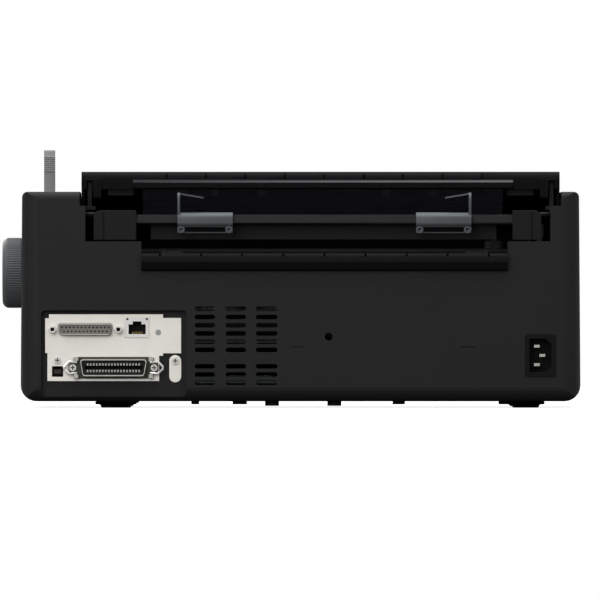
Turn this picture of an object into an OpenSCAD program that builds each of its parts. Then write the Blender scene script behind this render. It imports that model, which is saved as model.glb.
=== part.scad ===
// Desktop impact printer with a narrow carriage, seen and measured from its rear side.
// +X is the side with the paper knob, +Y is the rear side with the sockets, +Z is up.
// Every piece is drawn about the centre of the case; in_frame() then centres the whole machine.

/* [Case] */
// Width of the case without the knob
case_w = 399.4; // [397:0.2:404]
// Depth of the case from its front face to its rear face
case_d = 345; // [342:1:350]
// Height of the side pods above the table
pod_h = 154.1; // [153:0.1:156]
// Height of the floor of the case above the table
foot_h = 4.6; // [3:0.1:6]
// Height of the joint between the lower case and the housing
split_z = 14.9; // [13:0.1:17]
// Thickness of the moulded walls
wall = 2.6; // [2:0.1:3]
// Radius of the lower side edges
side_r = 11.5; // [8:0.5:14]
// Radius of the upright corners
corner_r = 12; // [8:0.5:15]
// How much each side leans in towards the top
draft = 1.1; // [0:0.1:2]
// Where the top starts to fall towards the front
slope_y = 30; // [26:1:36]
// Fall of the top towards the front, in degrees
slope = 14.8; // [14:0.1:15.4]

/* [Top cover] */
// Distance from the left side of the case to the top cover, seen from the front
cover_left = 14.3; // [12.7:0.1:15.7]
// Distance from the right side of the case to the top cover
cover_right = 42.9; // [41.7:0.1:44.7]
// Height of the top cover above the side pods
cover_rise = 14.6; // [12.9:0.1:16.9]
// Distance from the rear of the case to the top cover's rear face
cover_back = 65; // [63.5:0.5:67.5]
// Distance from the front of the case to the top cover's front edge
cover_ahead = 48.5; // [46.5:1:52.5]
// Wall of the top cover
cover_wall = 2.4; // [2:0.1:3]
// Depth of the ledge under the top cover, below the top of the pods
ledge_drop = 10.1; // [9.1:0.1:11.1]
// Gap around the top cover
cover_gap = 0.8; // [0.5:0.1:1.2]
// Height of the top cover's hinge line above the pods
cover_pivot_rise = 5.9; // [4.9:0.5:6.9]
// Radius of the top cover's hinge pins
cover_pin_r = 2; // [1.5:0.1:2.5]

/* [Rear bay] */
// Distance from the left side of the case to the rear bay
bay_left = 21.5; // [19.7:0.1:22.7]
// Distance from the right side of the case to the rear bay
bay_right = 46.1; // [44.7:0.1:47.7]
// Depth of the rear bay's lower edge below the top of the pods
bay_drop = 35.5; // [35.1:0.1:37.1]
// Centre of the paper path
path_x = -17; // [-19:0.5:-15]
// Width of the paper entry
entry_w = 261.2; // [256:0.2:266]
// How far the entry lip stands out of the rear face
lip_out = 5; // [3:0.5:7]
// Depth of the entry lip's top below the top of the pods
lip_drop = 43.6; // [42.6:0.1:45.1]
// Height of the entry lip
lip_h = 12.7; // [11:0.1:14]

/* [Platen] */
// Distance from the rear of the case to the platen
platen_back = 154.5; // [152.5:0.5:156.5]
// Depth of the platen below the top of the pods
platen_drop = 57.7; // [57.1:0.1:59.1]
// Radius of the platen
platen_r = 15; // [13:0.5:16]
// Length of the platen
platen_len = 276; // [268:1:282]
// Radius of the platen shaft
shaft_r = 4; // [3:0.1:5]
// Radius of the paper knob
knob_r = 25.2; // [22:0.2:28]
// How far the knob reaches beyond the case
knob_out = 14.6; // [12:0.2:18]
// Distance between the two side frames
frame_gap = 292; // [290:0.5:296]
// Thickness of the steel sheet
sheet = 1.6; // [1.2:0.1:2]

/* [Feed gears] */
// Module of the gear teeth
tooth_m = 1; // [1:0.01:1.02]
// Teeth of the platen gear and of both idlers
big_teeth = 40; // [40:2:42]
// Teeth of the tractor gear
tractor_teeth = 20; // [18:2:22]
// Teeth of the motor pinion
pinion_teeth = 16; // [16:4:20]
// Width of the gears
gear_w = 6; // [4:0.5:8]

/* [Carriage] */
// Radius of the carriage's guide shaft
guide_r = 6; // [5:0.1:7]
// Distance from the platen forwards to the guide shaft
guide_ahead = 36; // [34:0.5:38]
// Depth of the guide shaft below the platen
guide_below = 26.4; // [25.4:0.5:27.4]
// Travel of the carriage to each side
travel = 110; // [104:1:112]
// Radius of the belt pulleys
pulley_r = 6; // [5:0.1:7]

/* [Tractors] */
// Distance from the tractor shaft forwards to the tractor rod
rod_ahead = 20; // [18:0.5:21]
// Depth of the tractor rod below the platen
rod_below = 5.4; // [4.4:0.5:6.4]
// Radius of the tractor rod
rod_r = 3; // [2.5:0.1:3.5]
// Distance of each tractor from the middle of the paper
tractor_x = 110; // [100:1:112]
// Width of a tractor
tractor_w = 14; // [12:0.5:16]
// Distance between two paper pins
pin_pitch = 12.7; // [12.5:0.1:12.9]

/* [Paper guide] */
// Distance from the rear of the case to the paper guide's pivot
guide_pivot_back = 17.5; // [16.5:0.5:18.5]
// Depth of the paper guide's pivot below the top of the pods
guide_pivot_drop = 17.1; // [16.1:0.1:18.1]
// Width of the paper guide's left end
box_left_w = 20.5; // [18.5:0.1:22.5]
// Width of the paper guide's right end
box_right_w = 30.4; // [28.4:0.1:32.4]
// Height of the rail
rail_h = 5.7; // [5:0.1:6.5]
// Width of an edge guide
edge_w = 39.4; // [36:0.2:42]
// Distance between the two fins that the paper runs between
fin_gap = 206; // [200:1:210]

/* [Controls] */
// Height of the release lever's tip above the pods
lever_rise = 30.3; // [25.9:0.2:33.9]
// Width of the release lever
lever_w = 8; // [6:0.5:10]
// Length of a button
button_w = 15; // [13:0.5:16]
// Depth of a button
button_d = 8; // [6:0.5:10]
// Distance between two buttons
button_pitch = 21; // [20:0.5:22]

// How far the grip of the front cover stands out of the front face
grip_out = 3.2; // [2:0.1:4]

/* [Sockets] */
// Distance from the right side of the case to the socket recess
recess_right = 14.8; // [13.7:0.1:15.7]
// Width of the socket recess
recess_w = 103.6; // [102.4:0.1:104.9]
// Lower edge of the socket recess
recess_z0 = 8.2; // [7.8:0.1:9]
// Upper edge of the socket recess
recess_z1 = 69.5; // [69:0.1:71]
// Depth of the socket recess
recess_d = 5; // [4:0.5:6]
// Distance between the serial socket's jack posts
jack_gap = 47.04; // [46.9:0.01:47.2]
// Height of a ventilation slot
vent_h = 3.3; // [2.5:0.1:3.8]
// Distance between two ventilation slots
vent_pitch = 5.85; // [5.6:0.01:6]

/* [Hidden] */
$fn = 48;

fit = 0.05;        // radial clearance of a running fit
seat = 0.3;        // clearance of a piece that moves past another
eps = 0.01;        // overlap of a cut past a face
rear = case_d / 2; // rear face of the case
front = -case_d / 2;
cover_x0 = cover_left - case_w / 2;
cover_x1 = case_w / 2 - cover_right;
cover_h = pod_h + cover_rise;
cover_rear = rear - cover_back;
cover_front = front + cover_ahead;
ledge_z = pod_h - ledge_drop;
cover_pivot_z = pod_h + cover_pivot_rise;
bay_x0 = bay_left - case_w / 2;
bay_x1 = case_w / 2 - bay_right;
bay_z = pod_h - bay_drop;
lip_z = pod_h - lip_drop;
platen_y = rear - platen_back;
platen_z = pod_h - platen_drop;
guide_y = platen_y - guide_ahead;
guide_z = platen_z - guide_below;
rod_z = platen_z - rod_below;
guide_pivot_y = rear - guide_pivot_back;
guide_pivot_z = pod_h - guide_pivot_drop;
lever_top = pod_h + lever_rise;
recess_x1 = case_w / 2 - recess_right;
recess_x0 = recess_x1 - recess_w;
frame_x0 = path_x - frame_gap / 2; // inner face of the left side frame
frame_x1 = path_x + frame_gap / 2; // inner face of the right side frame

// The colours of the plastics and metals
case_colour = "#252527";
cover_colour = "#1c1b20";
grey_colour = "#58595c";
steel_colour = "#a9abab";
plate_colour = "#d0cfca";
gear_colour = "#e6e2d6";

// Centres the machine with its knob, its entry lip and its front grip on the origin
module in_frame() {
    translate([-knob_out / 2, (grip_out - lip_out) / 2, 0]) children();
}

// ---- Outlines ----

// Unit vector to the left of the way from p to q
function left_of(p, q) = [p.y - q.y, q.x - p.x] / norm(q - p);

// Corner b of an outline moved in by d from both of its edges
function inset_corner(a, b, c, d) =
    let (m = left_of(a, b), n = left_of(b, c)) b + d * (m + n) / (1 + m * n);

// Outline moved in by d; points run anticlockwise
function inset(points, d) =
    let (n = len(points))
    [for (i = [0:n - 1]) inset_corner(points[(i + n - 1) % n], points[i], points[(i + 1) % n], d)];

// Arc that rounds corner b with radius r
function corner_arc(a, b, c, r, steps) =
    let (
        m = left_of(a, b), n = left_of(b, c),
        centre = inset_corner(a, b, c, r),
        start = atan2(-m.y, -m.x),
        turn = atan2(m.x * n.y - m.y * n.x, m * n)
    )
    [for (i = [0:steps]) centre + r * [cos(start + turn * i / steps), sin(start + turn * i / steps)]];

// Outline whose corners have the given radii; a radius of 0 stays sharp
function rounded(points, radii, steps = 6) =
    let (n = len(points))
    [for (i = [0:n - 1])
        each radii[i] > 0
            ? corner_arc(points[(i + n - 1) % n], points[i], points[(i + 1) % n], radii[i], steps)
            : [points[i]]];

// Extrudes a Y-Z outline from x0 to x1
module along_x(x0, x1) {
    translate([x0, 0, 0]) rotate([90, 0, 90]) linear_extrude(x1 - x0) children();
}

// Extrudes an X-Z outline from y0 to y1
module along_y(y0, y1) {
    translate([0, y1, 0]) rotate([90, 0, 0]) linear_extrude(y1 - y0) children();
}

// Round bar along X
module rod_x(x0, x1, y, z, r) {
    translate([x0, y, z]) rotate([0, 90, 0]) cylinder(r = r, h = x1 - x0);
}

// Round bar along Y
module rod_y_axis(x, y0, y1, z, r) {
    translate([x, y1, z]) rotate([90, 0, 0]) cylinder(r = r, h = y1 - y0);
}

// Box between two corners
module block(low, high) {
    translate(low) cube(high - low);
}

// Rectangle with round corners between two corners
module round_rect(low, high, r) {
    polygon(rounded([low, [high.x, low.y], high, [low.x, high.y]], [r, r, r, r]));
}

// Height of a line that is level at the back and falls towards the front
function fall(y, z) = z - max(0, slope_y - y) * tan(slope);

// ---- Case ----

brow_y = front + 12.5;             // where the top turns down to the front face
brow_z = fall(brow_y, pod_h);
front_z = brow_z - 12;             // upper edge of the front face
under_r = 10;                      // radius of the front and rear lower edges
edge_r = 4;                        // radius of the upper edges
bay_wall_x0 = cover_x0 - cover_gap - wall;
bay_wall_x1 = cover_x1 + cover_gap + wall;
ledge_w = 10;                      // width of the ledge under the top cover
entry_x0 = path_x - entry_w / 2;
entry_x1 = path_x + entry_w / 2;
lip_floor = 2.4;                   // thickness of the entry lip's floor
frame_top = platen_z + 14.6;       // upper edge of the side frames behind the platen
floor_z = foot_h + wall;           // inside of the lower case

// Solid body of the case, moved in by d on every side
module case_body(d) {
    side = [
        [rear, foot_h], [rear, pod_h], [slope_y, pod_h],
        [brow_y, brow_z], [front, front_z], [front, foot_h]
    ];
    ends = [
        [-case_w / 2, foot_h], [case_w / 2, foot_h],
        [case_w / 2 - draft, pod_h], [draft - case_w / 2, pod_h]
    ];
    intersection() {
        along_x(-case_w, case_w)
            polygon(rounded(inset(side, d), [under_r - d, edge_r + 1 - d, 25, 8 - d, 10 - d, under_r - d]));
        along_y(-case_d, case_d)
            polygon(rounded(inset(ends, d), [side_r - d, side_r - d, edge_r - d, edge_r - d]));
        linear_extrude(2 * pod_h)
            round_rect([d - case_w / 2, front + d], [case_w / 2 - d, rear - d], corner_r - d);
    }
}

// Everything above a height within the outline of the top cover, grown by d
module well(d, z) {
    along_x(cover_x0 - d, cover_x1 + d)
        polygon([
            [rear + wall, z], [rear + wall, 2 * pod_h], [cover_front - d, 2 * pod_h],
            [cover_front - d, fall(cover_front - d, z)], [slope_y, z]
        ]);
}

// Walls and ledge around the opening of the top cover
module well_walls() {
    difference() {
        intersection() {
            case_body(eps);
            well(cover_gap + wall, ledge_z - wall);
            block([-case_w, -case_d, 0], [case_w, cover_rear + cover_gap + wall, 2 * pod_h]);
        }
        well(cover_gap, ledge_z);
        well(-ledge_w, 0);
    }
}

// Side walls of the rear bay
module bay_walls() {
    intersection() {
        case_body(eps);
        union() {
            for (x = [[bay_x1, bay_x1 + wall], [bay_x0 - wall, bay_x0]])
                block([x[0], cover_rear + cover_gap, bay_z - 10], [x[1], rear, pod_h]);
            for (x = [[bay_x1, bay_wall_x1], [bay_wall_x0, bay_x0]])
                block(
                    [x[0], cover_rear + cover_gap, bay_z - 10],
                    [x[1], cover_rear + cover_gap + wall, pod_h]
                );
        }
    }
}

// Two plates on the ledge that carry the hinge pins of the top cover
post_w = 3;
post_y = cover_rear - 7.5;         // hinge line of the top cover
post_x0 = cover_x0 + cover_wall + 2;
post_x1 = cover_x1 - cover_wall - 2;
module hinge_posts() {
    for (x = [post_x0, post_x1 - post_w])
        difference() {
            union() {
                block([x, post_y - 4, ledge_z - eps], [x + post_w, post_y + 4, cover_pivot_z]);
                rod_x(x, x + post_w, post_y, cover_pivot_z, 4);
            }
            rod_x(x - 1, x + post_w + 1, post_y, cover_pivot_z, cover_pin_r + fit);
        }
}

// Socket recess in the rear face, also the space behind which the metal plate sits
module recess_space() {
    along_y(rear - recess_d, rear + wall) round_rect([recess_x0, recess_z0], [recess_x1, recess_z1], 3);
}

// Floor and sides of the socket recess; the openings behind the sockets are cut later
module recess_pan() {
    along_y(rear - recess_d - wall, rear - wall / 2)
        round_rect([recess_x0 - wall, recess_z0 - wall], [recess_x1 + wall, recess_z1 + wall], 3 + wall);
}

inlet_x = 28.75 - case_w / 2;      // middle of the mains inlet
inlet_z = 37.35;
inlet_w = 21.9;
inlet_h = 30.3;
front_x0 = 49.7 - case_w / 2;      // opening of the front paper path
front_x1 = case_w / 2 - 83.7;
front_z0 = 34;
front_z1 = front_z - 7.9;
rocker_x = 21.7 - case_w / 2;      // power rocker in the front face
rocker_z = 52;
rocker_w = 12;
rocker_h = 20;
panel_x1 = case_w / 2 - 17.7;      // control panel on the slope in front of the cover
panel_x0 = panel_x1 - 120;
panel_y0 = front + 16.5;
panel_y1 = panel_y0 + 26;
lever_y = platen_y + 52;           // release lever in the right pod
lever_x = case_w / 2 - 19.8;
lever_pivot_z = pod_h - 42.1;
vent_x = [[61.0, 75.4], [38.9, 53.3], [16.5, 31.8]];

// Moves a piece on to the slope in front of the cover, with +Z out of the surface
module on_slope(x, y) {
    translate([x, y, fall(y, pod_h)]) rotate([slope, 0, 0]) children();
}

module vents() {
    top = 72.2 - vent_h / 2;
    along_y(rear - 2 * wall, rear + 1)
        for (column = vent_x, row = [0, 1, 2, 3, 4, 5, 7, 8, 9, 10])
            slot_outline(column[0], column[1], top - row * vent_pitch, vent_h);
}

// Slot with full-round ends, between x0 and x1 at height z
module slot_outline(x0, x1, z, h) {
    translate([x0 + h / 2, z - h / 2]) square([x1 - x0 - h, h]);
    for (x = [x0 + h / 2, x1 - h / 2]) translate([x, z]) circle(h / 2, $fn = 24);
}

module bottom_case() in_frame() color(case_colour) {
    difference() {
        union() {
            difference() {
                intersection() {
                    case_body(0);
                    block([-case_w, -case_d, 0], [case_w, case_d, split_z]);
                }
                difference() {
                    case_body(wall);
                    block([-case_w, -case_d, 0], [case_w, case_d, floor_z]);
                }
            }
            intersection() {
                case_body(eps);
                recess_pan();
                block([-case_w, -case_d, 0], [case_w, case_d, split_z]);
            }
            // screw bosses and stacking nubs under the floor
            for (x = [20.4, -24.1]) translate([x, rear - 22.5, 1.4]) cylinder(r = 5, h = foot_h - 1.4 + 1);
            for (x = [[72.4, 78], [38.3, 48.5], [-74.5, -65.7], [-147.1, -141.4]])
                block([x[0], rear - 32.5, 2.4], [x[1], rear - 24.5, foot_h + 1]);
        }
        recess_space();
    }
}

foot_x = [[case_w / 2 - 82.7, case_w / 2 - 53], [25.3 - case_w / 2, 52.5 - case_w / 2]];
module rubber_feet() in_frame() color("#17171a")
    for (x = foot_x, y = [front + 32.5, rear - 60.5]) {
        block([x[0], y, foot_h / 2], [x[1], y + 28, foot_h]);
        block([x[0] + 4, y + 4, 0], [x[1] - 4, y + 24, foot_h / 2]);
    }

module housing_openings() {
    well(cover_gap, ledge_z);
    intersection() {
        well(-ledge_w, bay_z - 12);
        block([-case_w, -case_d, 0], [case_w, rear - 2 * wall, 2 * pod_h]);
    }
    // rear bay and paper entry
    block([bay_x0, cover_rear - 1, bay_z], [bay_x1, rear + 1, 2 * pod_h]);
    block([entry_x0, rear - 52.5, lip_z - lip_floor], [entry_x1, rear + 1, bay_z + 1]);
    recess_space();
    vents();
    // mains inlet, small round hole and two thin slots in the rear face
    along_y(rear - 2 * wall, rear + 1)
        round_rect(
            [inlet_x - inlet_w / 2, inlet_z - inlet_h / 2],
            [inlet_x + inlet_w / 2, inlet_z + inlet_h / 2], 2
        );
    rod_y_axis(-20, rear - 2 * wall, rear + 1, 50.7, 2.8);
    for (x = [[-2.3, 7.3], [-124.3, -114.1]])
        block([x[0], rear - 1, 42.9], [x[1], rear + 1, 43.7]);
    // front paper path and power rocker
    along_y(front - 1, front + 2 * wall) {
        round_rect([front_x0, front_z0], [front_x1, front_z1], 2);
        round_rect(
            [rocker_x - rocker_w / 2 - 0.4, rocker_z - rocker_h / 2 - 0.4],
            [rocker_x + rocker_w / 2 + 0.4, rocker_z + rocker_h / 2 + 0.4], 1
        );
    }
    // control panel
    on_slope(0, panel_y0)
        block([panel_x0, 0, -2 * wall], [panel_x1, (panel_y1 - panel_y0) / cos(slope), wall]);
    // paper knob shaft and release lever
    rod_x(case_w / 2 - 3 * wall, case_w, platen_y, platen_z, shaft_r + 2);
    block(
        [lever_x - lever_w / 2 - 1.2, lever_y - 22, pod_h - 3 * wall],
        [lever_x + lever_w / 2 + 1.2, lever_y + 5, pod_h + 1]
    );
}

module upper_housing() in_frame() color(case_colour) {
    difference() {
        union() {
            difference() {
                case_body(0);
                case_body(wall);
            }
            well_walls();
            bay_walls();
            intersection() {
                case_body(eps);
                recess_pan();
            }
            // lugs of the front cover
            for (x = [front_x0 - 4, front_x1])
                block([x, front + wall / 2, front_z0 - 2], [x + 4, front + 8, front_z0 + 10]);
        }
        block([-case_w, -case_d, -1], [case_w, case_d, split_z]);
        housing_openings();
        // bearings of the paper guide in the walls of the bay
        for (x = [bay_x1 - 1, bay_x0 - wall - 1])
            rod_x(x, x + wall + 2, guide_pivot_y, guide_pivot_z, 2.5 + fit);
        for (x = [front_x0 - 5, front_x1 - 1])
            rod_x(x, x + 6, flap_pivot_y, flap_pivot_z, flap_pin_r + fit);
        socket_holes(rear - recess_d - wall - 1, rear);
    }
    hinge_posts();
    // peg that carries the release lever
    block(
        [lever_x + lever_w / 2 + 1, lever_y - 4, lever_pivot_z - 4],
        [case_w / 2 - draft - wall / 2, lever_y + 4, lever_pivot_z + 4]
    );
    rod_x(lever_x - lever_w / 2 - 2, lever_x + lever_w / 2 + 2, lever_y, lever_pivot_z, 3);
}

lip_y0 = rear - 24.5;              // inner edge of the entry lip's floor
module paper_entry_lip() in_frame() color(case_colour) {
    nose = [
        [rear, lip_z - lip_h], [rear + lip_out - 1.5, lip_z - lip_h], [rear + lip_out, lip_z - lip_h / 2],
        [rear + lip_out - 1.5, lip_z], [lip_y0, lip_z], [lip_y0, lip_z - lip_floor], [rear, lip_z - lip_floor]
    ];
    difference() {
        along_x(entry_x0, entry_x1) polygon(rounded(nose, [0, 2, 4, 4, 0, 0, 0]));
        // nine fine grooves guide the edge of the paper
        for (i = [-4:4])
            block([path_x + i * 29.3 - 0.7, rear - 2, lip_z - 3], [path_x + i * 29.3 + 0.7, rear + 9, lip_z + 1]);
    }
}

// ---- Controls in front of the cover ----

panel_t = 2.2;
button_x = [for (i = [0:3]) panel_x0 + 42 + i * button_pitch];
button_y = 13;                     // middle of the buttons up the slope
module control_panel() in_frame() color("#303033") {
    on_slope(0, panel_y0) difference() {
        block([panel_x0, 0, -panel_t], [panel_x1, (panel_y1 - panel_y0) / cos(slope), 0]);
        for (x = button_x)
            block(
                [x - button_w / 2 - 0.4, button_y - button_d / 2 - 0.4, -3 * wall],
                [x + button_w / 2 + 0.4, button_y + button_d / 2 + 0.4, wall]
            );
        for (i = [0:3]) translate([panel_x0 + 8 + i * 8, button_y, -panel_t - 1]) cylinder(r = 1.5, h = 4);
    }
    // switch board on posts under the buttons
    on_slope(0, panel_y0) {
        block([panel_x0 + 4, 3, -10.6], [panel_x1 - 4, 24, -9]);
        for (x = [panel_x0 + 4, panel_x1 - 6]) block([x, 4, -9], [x + 2, 22, -panel_t]);
    }
}

module indicator_lights() in_frame() color("#3f8f4a") {
    on_slope(0, panel_y0)
        for (i = [0:3]) translate([panel_x0 + 8 + i * 8, button_y, -panel_t]) cylinder(r = 1.5, h = panel_t + 0.4);
    rod_y_axis(light_x, plate_y0, plate_y1 + 0.6, light_z, 1.9);
}

module push_button(i) in_frame() color(grey_colour)
    on_slope(button_x[i], panel_y0) {
        translate([-button_w / 2, button_y - button_d / 2, -6.5]) cube([button_w, button_d, 8]);
        translate([0, button_y, -7.7]) cylinder(r = 1.5, h = 2);
    }
module pause_button() push_button(0);
module tear_button() push_button(1);
module feed_button() push_button(2);
module load_button() push_button(3);

// The rocker is drawn with its lower half pressed; it turns about its middle
module power_rocker() in_frame() color("#111113")
    translate([rocker_x, front + 5, rocker_z]) rotate([-7, 0, 0]) {
        block([-rocker_w / 2, -7, -rocker_h / 2 + 1], [rocker_w / 2, -3, rocker_h / 2 - 1]);
        rod_x(-rocker_w / 2, rocker_w / 2, 0, 0, 4.2);
    }

// ---- Frames and boards ----

leg_y = [[platen_y - 110, platen_y - 90], [platen_y + 4, platen_y + 22], [rear - 54.5, rear - 38.5]];
foot_t = 1.6;
module frame_outline() {
    polygon([
        [platen_y - 118, channel_z - 4], [rear - 30.5, channel_z - 4], [rear - 30.5, frame_top],
        [platen_y + 27, frame_top], [platen_y + 18, platen_z + 25.6], [platen_y - 18, platen_z + 25.6],
        [platen_y - 32, ribbon_z - seat], [platen_y - 118, ribbon_z - seat]
    ]);
    for (y = leg_y) translate([y[0], floor_z]) square([y[1] - y[0], 40]);
}

module frame_holes(x0, x1) {
    rod_x(x0, x1, platen_y, platen_z, shaft_r + fit);
    rod_x(x0, x1, tractor_y, tractor_z, tractor_journal + fit);
    rod_x(x0, x1, feed_y, feed_z, feed_journal + fit);
    rod_x(x0, x1, rod_y, rod_z, rod_r);
    rod_x(x0, x1, guide_y, guide_z, guide_r - 1);
    // lightening hole
    rod_x(x0, x1, guide_y - 52, guide_z, 14);
}

module side_frame_left() in_frame() color(steel_colour)
    difference() {
        union() {
            along_x(frame_x0 - sheet, frame_x0) frame_outline();
            for (y = leg_y) block([frame_x0 - 14, y[0], floor_z], [frame_x0, y[1], floor_z + foot_t]);
        }
        frame_holes(frame_x0 - 20, frame_x0 + 1);
    }

module side_frame_right() in_frame() color(steel_colour) {
    difference() {
        union() {
            along_x(frame_x1, frame_x1 + sheet) frame_outline();
            for (y = leg_y) block([frame_x1, y[0], floor_z], [frame_x1 + 14, y[1], floor_z + foot_t]);
        }
        frame_holes(frame_x1 - 1, frame_x1 + 20);
        rod_x(frame_x1 - 1, frame_x1 + 3, pinion_y, pinion_z, 5);
    }
    // studs of the two idler gears
    for (y = [idler_y1, idler_y2])
        rod_x(frame_x1 + sheet - eps, gear_x + gear_w + 0.4, y, platen_z, stud_r);
}

// The ends step down to the holes in the frames, which hold the shaft between their shoulders
module guide_shaft() in_frame() color("#c9cbcc") {
    rod_x(frame_x0, frame_x1, guide_y, guide_z, guide_r);
    rod_x(frame_x0 - 12, frame_x1 + sheet + 1, guide_y, guide_z, guide_r - 1);
}

rail_z = guide_z + 12;
rail_y = guide_y - 36;
motor_x = path_x - travel - 10;    // drive pulley, over the carriage motor
tension_x = path_x + travel + 10;
channel_z = guide_z - 24;
channel_y = guide_y + 16;
module carriage_rail() in_frame() color(steel_colour) {
    difference() {
        along_x(frame_x0, frame_x1)
            polygon([
                [rail_y, channel_z], [channel_y, channel_z], [channel_y, channel_z + sheet],
                [rail_y + sheet, channel_z + sheet], [rail_y + sheet, rail_z - sheet],
                [rail_y + 14, rail_z - sheet], [rail_y + 14, rail_z], [rail_y, rail_z]
            ]);
        translate([motor_x, guide_y, channel_z - 1]) cylinder(r = 4, h = 4);
    }
    translate([tension_x, guide_y, channel_z + sheet - eps]) cylinder(r = 2, h = 10);
}

board_z = 17.6;                    // underside of the circuit boards
board_t = 1.6;
board_x0 = -40;
board_x1 = case_w / 2 - 13.7;
board_y0 = -60;
board_y1 = rear - recess_d - wall - 1;
post_in = 13;                      // distance of the posts from the edges of the main board
module board_posts(places) {
    for (p = places) translate([p.x, p.y, floor_z]) cylinder(r = 3, h = board_z - floor_z + eps);
}

module chip(low, w, d, h) {
    block([low.x, low.y, board_z + board_t - eps], [low.x + w, low.y + d, board_z + board_t + h]);
}

module main_board() in_frame() color("#2f6a45") {
    difference() {
        block([board_x0, board_y0, board_z], [board_x1, board_y1, board_z + board_t]);
        // slots for the legs of the right side frame
        for (y = leg_y)
            block(
                [frame_x1 - seat, y[0] - seat, board_z - 1],
                [frame_x1 + sheet + seat, y[1] + seat, board_z + board_t + 1]
            );
    }
    board_posts([
        for (x = [board_x0 + post_in, 70, board_x1 - post_in], y = [board_y0 + post_in, board_y1 - post_in])
            [x, y]
    ]);
    chip([20, 20], 32, 32, 3.4);
    chip([76, 60], 28, 12, 3.4);
}

module power_supply_board() in_frame() color("#6b5a35") {
    supply_x = frame_x0 + 7;
    supply_y = rear - 122.5;
    block([supply_x, supply_y, board_z], [supply_x + 106, supply_y + 88, board_z + board_t]);
    board_posts([for (x = [supply_x + 6, supply_x + 100], y = [supply_y + 6, supply_y + 82]) [x, y]]);
    // transformer, and the heat sink with its six fins
    chip([supply_x + 10, supply_y + 34], 40, 40, 34.8);
    chip([supply_x + 64, supply_y + 16], 32, 60, 2.8);
    for (i = [0:5]) chip([supply_x + 64 + i * 6, supply_y + 16], 2, 60, 28.8);
}

// ---- Gears and shafts ----

big_r = tooth_m * big_teeth / 2;
tractor_r = tooth_m * tractor_teeth / 2;
pinion_r = tooth_m * pinion_teeth / 2;
gear_x = frame_x1 + sheet + 2;     // inner face of the gears
idler_y1 = platen_y + 2 * big_r;
idler_y2 = idler_y1 + 2 * big_r;
tractor_y = idler_y2 + big_r + tractor_r;
tractor_z = platen_z;
rod_y = tractor_y - rod_ahead;
tractor_journal = 3;
pinion_y = idler_y1;
pinion_z = platen_z - big_r - pinion_r;
stud_r = 3;
feed_r = 5;
feed_y = platen_y + (platen_r + feed_r + seat) * sin(30);
feed_z = platen_z - (platen_r + feed_r + seat) * cos(30);
feed_journal = 2.5;

// Point of an involute that starts on a circle of radius r
function involute(r, a) = r * [cos(a) + a * PI / 180 * sin(a), sin(a) - a * PI / 180 * cos(a)];

// Turns a point by an angle, and mirrors it about the X axis if flip is -1
function turned(p, a, flip = 1) =
    [p.x * cos(a) - flip * p.y * sin(a), p.x * sin(a) + flip * p.y * cos(a)];

// Outline of a spur gear with stub teeth; one tooth points along +X
module gear_outline(teeth) {
    backlash = 0.14;
    pitch_r = tooth_m * teeth / 2;
    base_r = pitch_r * cos(20);
    root_r = pitch_r - 1.1 * tooth_m;
    tip_r = pitch_r + 0.8 * tooth_m;
    start_r = max(base_r, root_r);
    angle_at = function (r) sqrt(max(0, (r / base_r) ^ 2 - 1)) * 180 / PI;
    lean = function (a) a - atan(a * PI / 180);
    half = 90 / teeth - backlash / 2 / pitch_r * 180 / PI + lean(angle_at(pitch_r));
    a0 = angle_at(start_r);
    a1 = angle_at(tip_r);
    flank = [for (i = [0:4]) involute(base_r, a0 + (a1 - a0) * i / 4)];
    polygon([for (t = [0:teeth - 1]) each concat(
        [turned([root_r, 0], t * 360 / teeth - half)],
        [for (p = flank) turned(p, t * 360 / teeth - half)],
        [for (i = [4:-1:0]) turned(flank[i], t * 360 / teeth + half, -1)],
        [turned([root_r, 0], t * 360 / teeth + half)]
    )]);
}

// Gear across the X axis at a place; phase turns its first tooth up from +Y
module gear(teeth, y, z, phase, bore) {
    translate([gear_x, y, z]) rotate([90, 0, 90]) rotate(phase) difference() {
        linear_extrude(gear_w) gear_outline(teeth);
        translate([0, 0, -1]) cylinder(r = bore, h = gear_w + 2);
    }
}

module platen_gear() in_frame() color(gear_colour) gear(big_teeth, platen_y, platen_z, 0, shaft_r);
module idler_gear_front() in_frame() color(gear_colour)
    gear(big_teeth, idler_y1, platen_z, 180 / big_teeth, stud_r + fit);
module idler_gear_rear() in_frame() color(gear_colour)
    gear(big_teeth, idler_y2, platen_z, 0, stud_r + fit);

module platen_roller() in_frame() color("#1a1a1c")
    difference() {
        rod_x(path_x - platen_len / 2, path_x + platen_len / 2, platen_y, platen_z, platen_r);
        rod_x(path_x - platen_len, path_x + platen_len, platen_y, platen_z, shaft_r);
    }

knob_x = case_w / 2 + 0.4;
knob_ribs = 88;
knob_rib_h = 0.45;
module platen_shaft() in_frame() color("#c9cbcc")
    rod_x(frame_x0 - sheet - 3, case_w / 2 + knob_out - 3, platen_y, platen_z, shaft_r);

// Outline of a knob with fine upright ribs
function ribbed(r, depth, ribs) =
    [for (i = [0:2 * ribs - 1]) (r - (i % 2) * depth) * [cos(i * 180 / ribs), sin(i * 180 / ribs)]];

module platen_knob() in_frame() color(grey_colour)
    difference() {
        intersection() {
            translate([knob_x, platen_y, platen_z]) rotate([0, 90, 0])
                linear_extrude(knob_out - 0.4) polygon(ribbed(knob_r, knob_rib_h, knob_ribs));
            translate([knob_x, platen_y, platen_z]) rotate([0, 90, 0]) rotate_extrude($fn = 96)
                polygon(rounded(
                    [[0, 0], [knob_r, 0], [knob_r, knob_out - 0.4], [0, knob_out - 0.4]],
                    [0, 1.5, 4.8, 0]
                ));
        }
        rod_x(knob_x - 1, case_w / 2 + knob_out - 3, platen_y, platen_z, shaft_r);
    }

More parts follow.
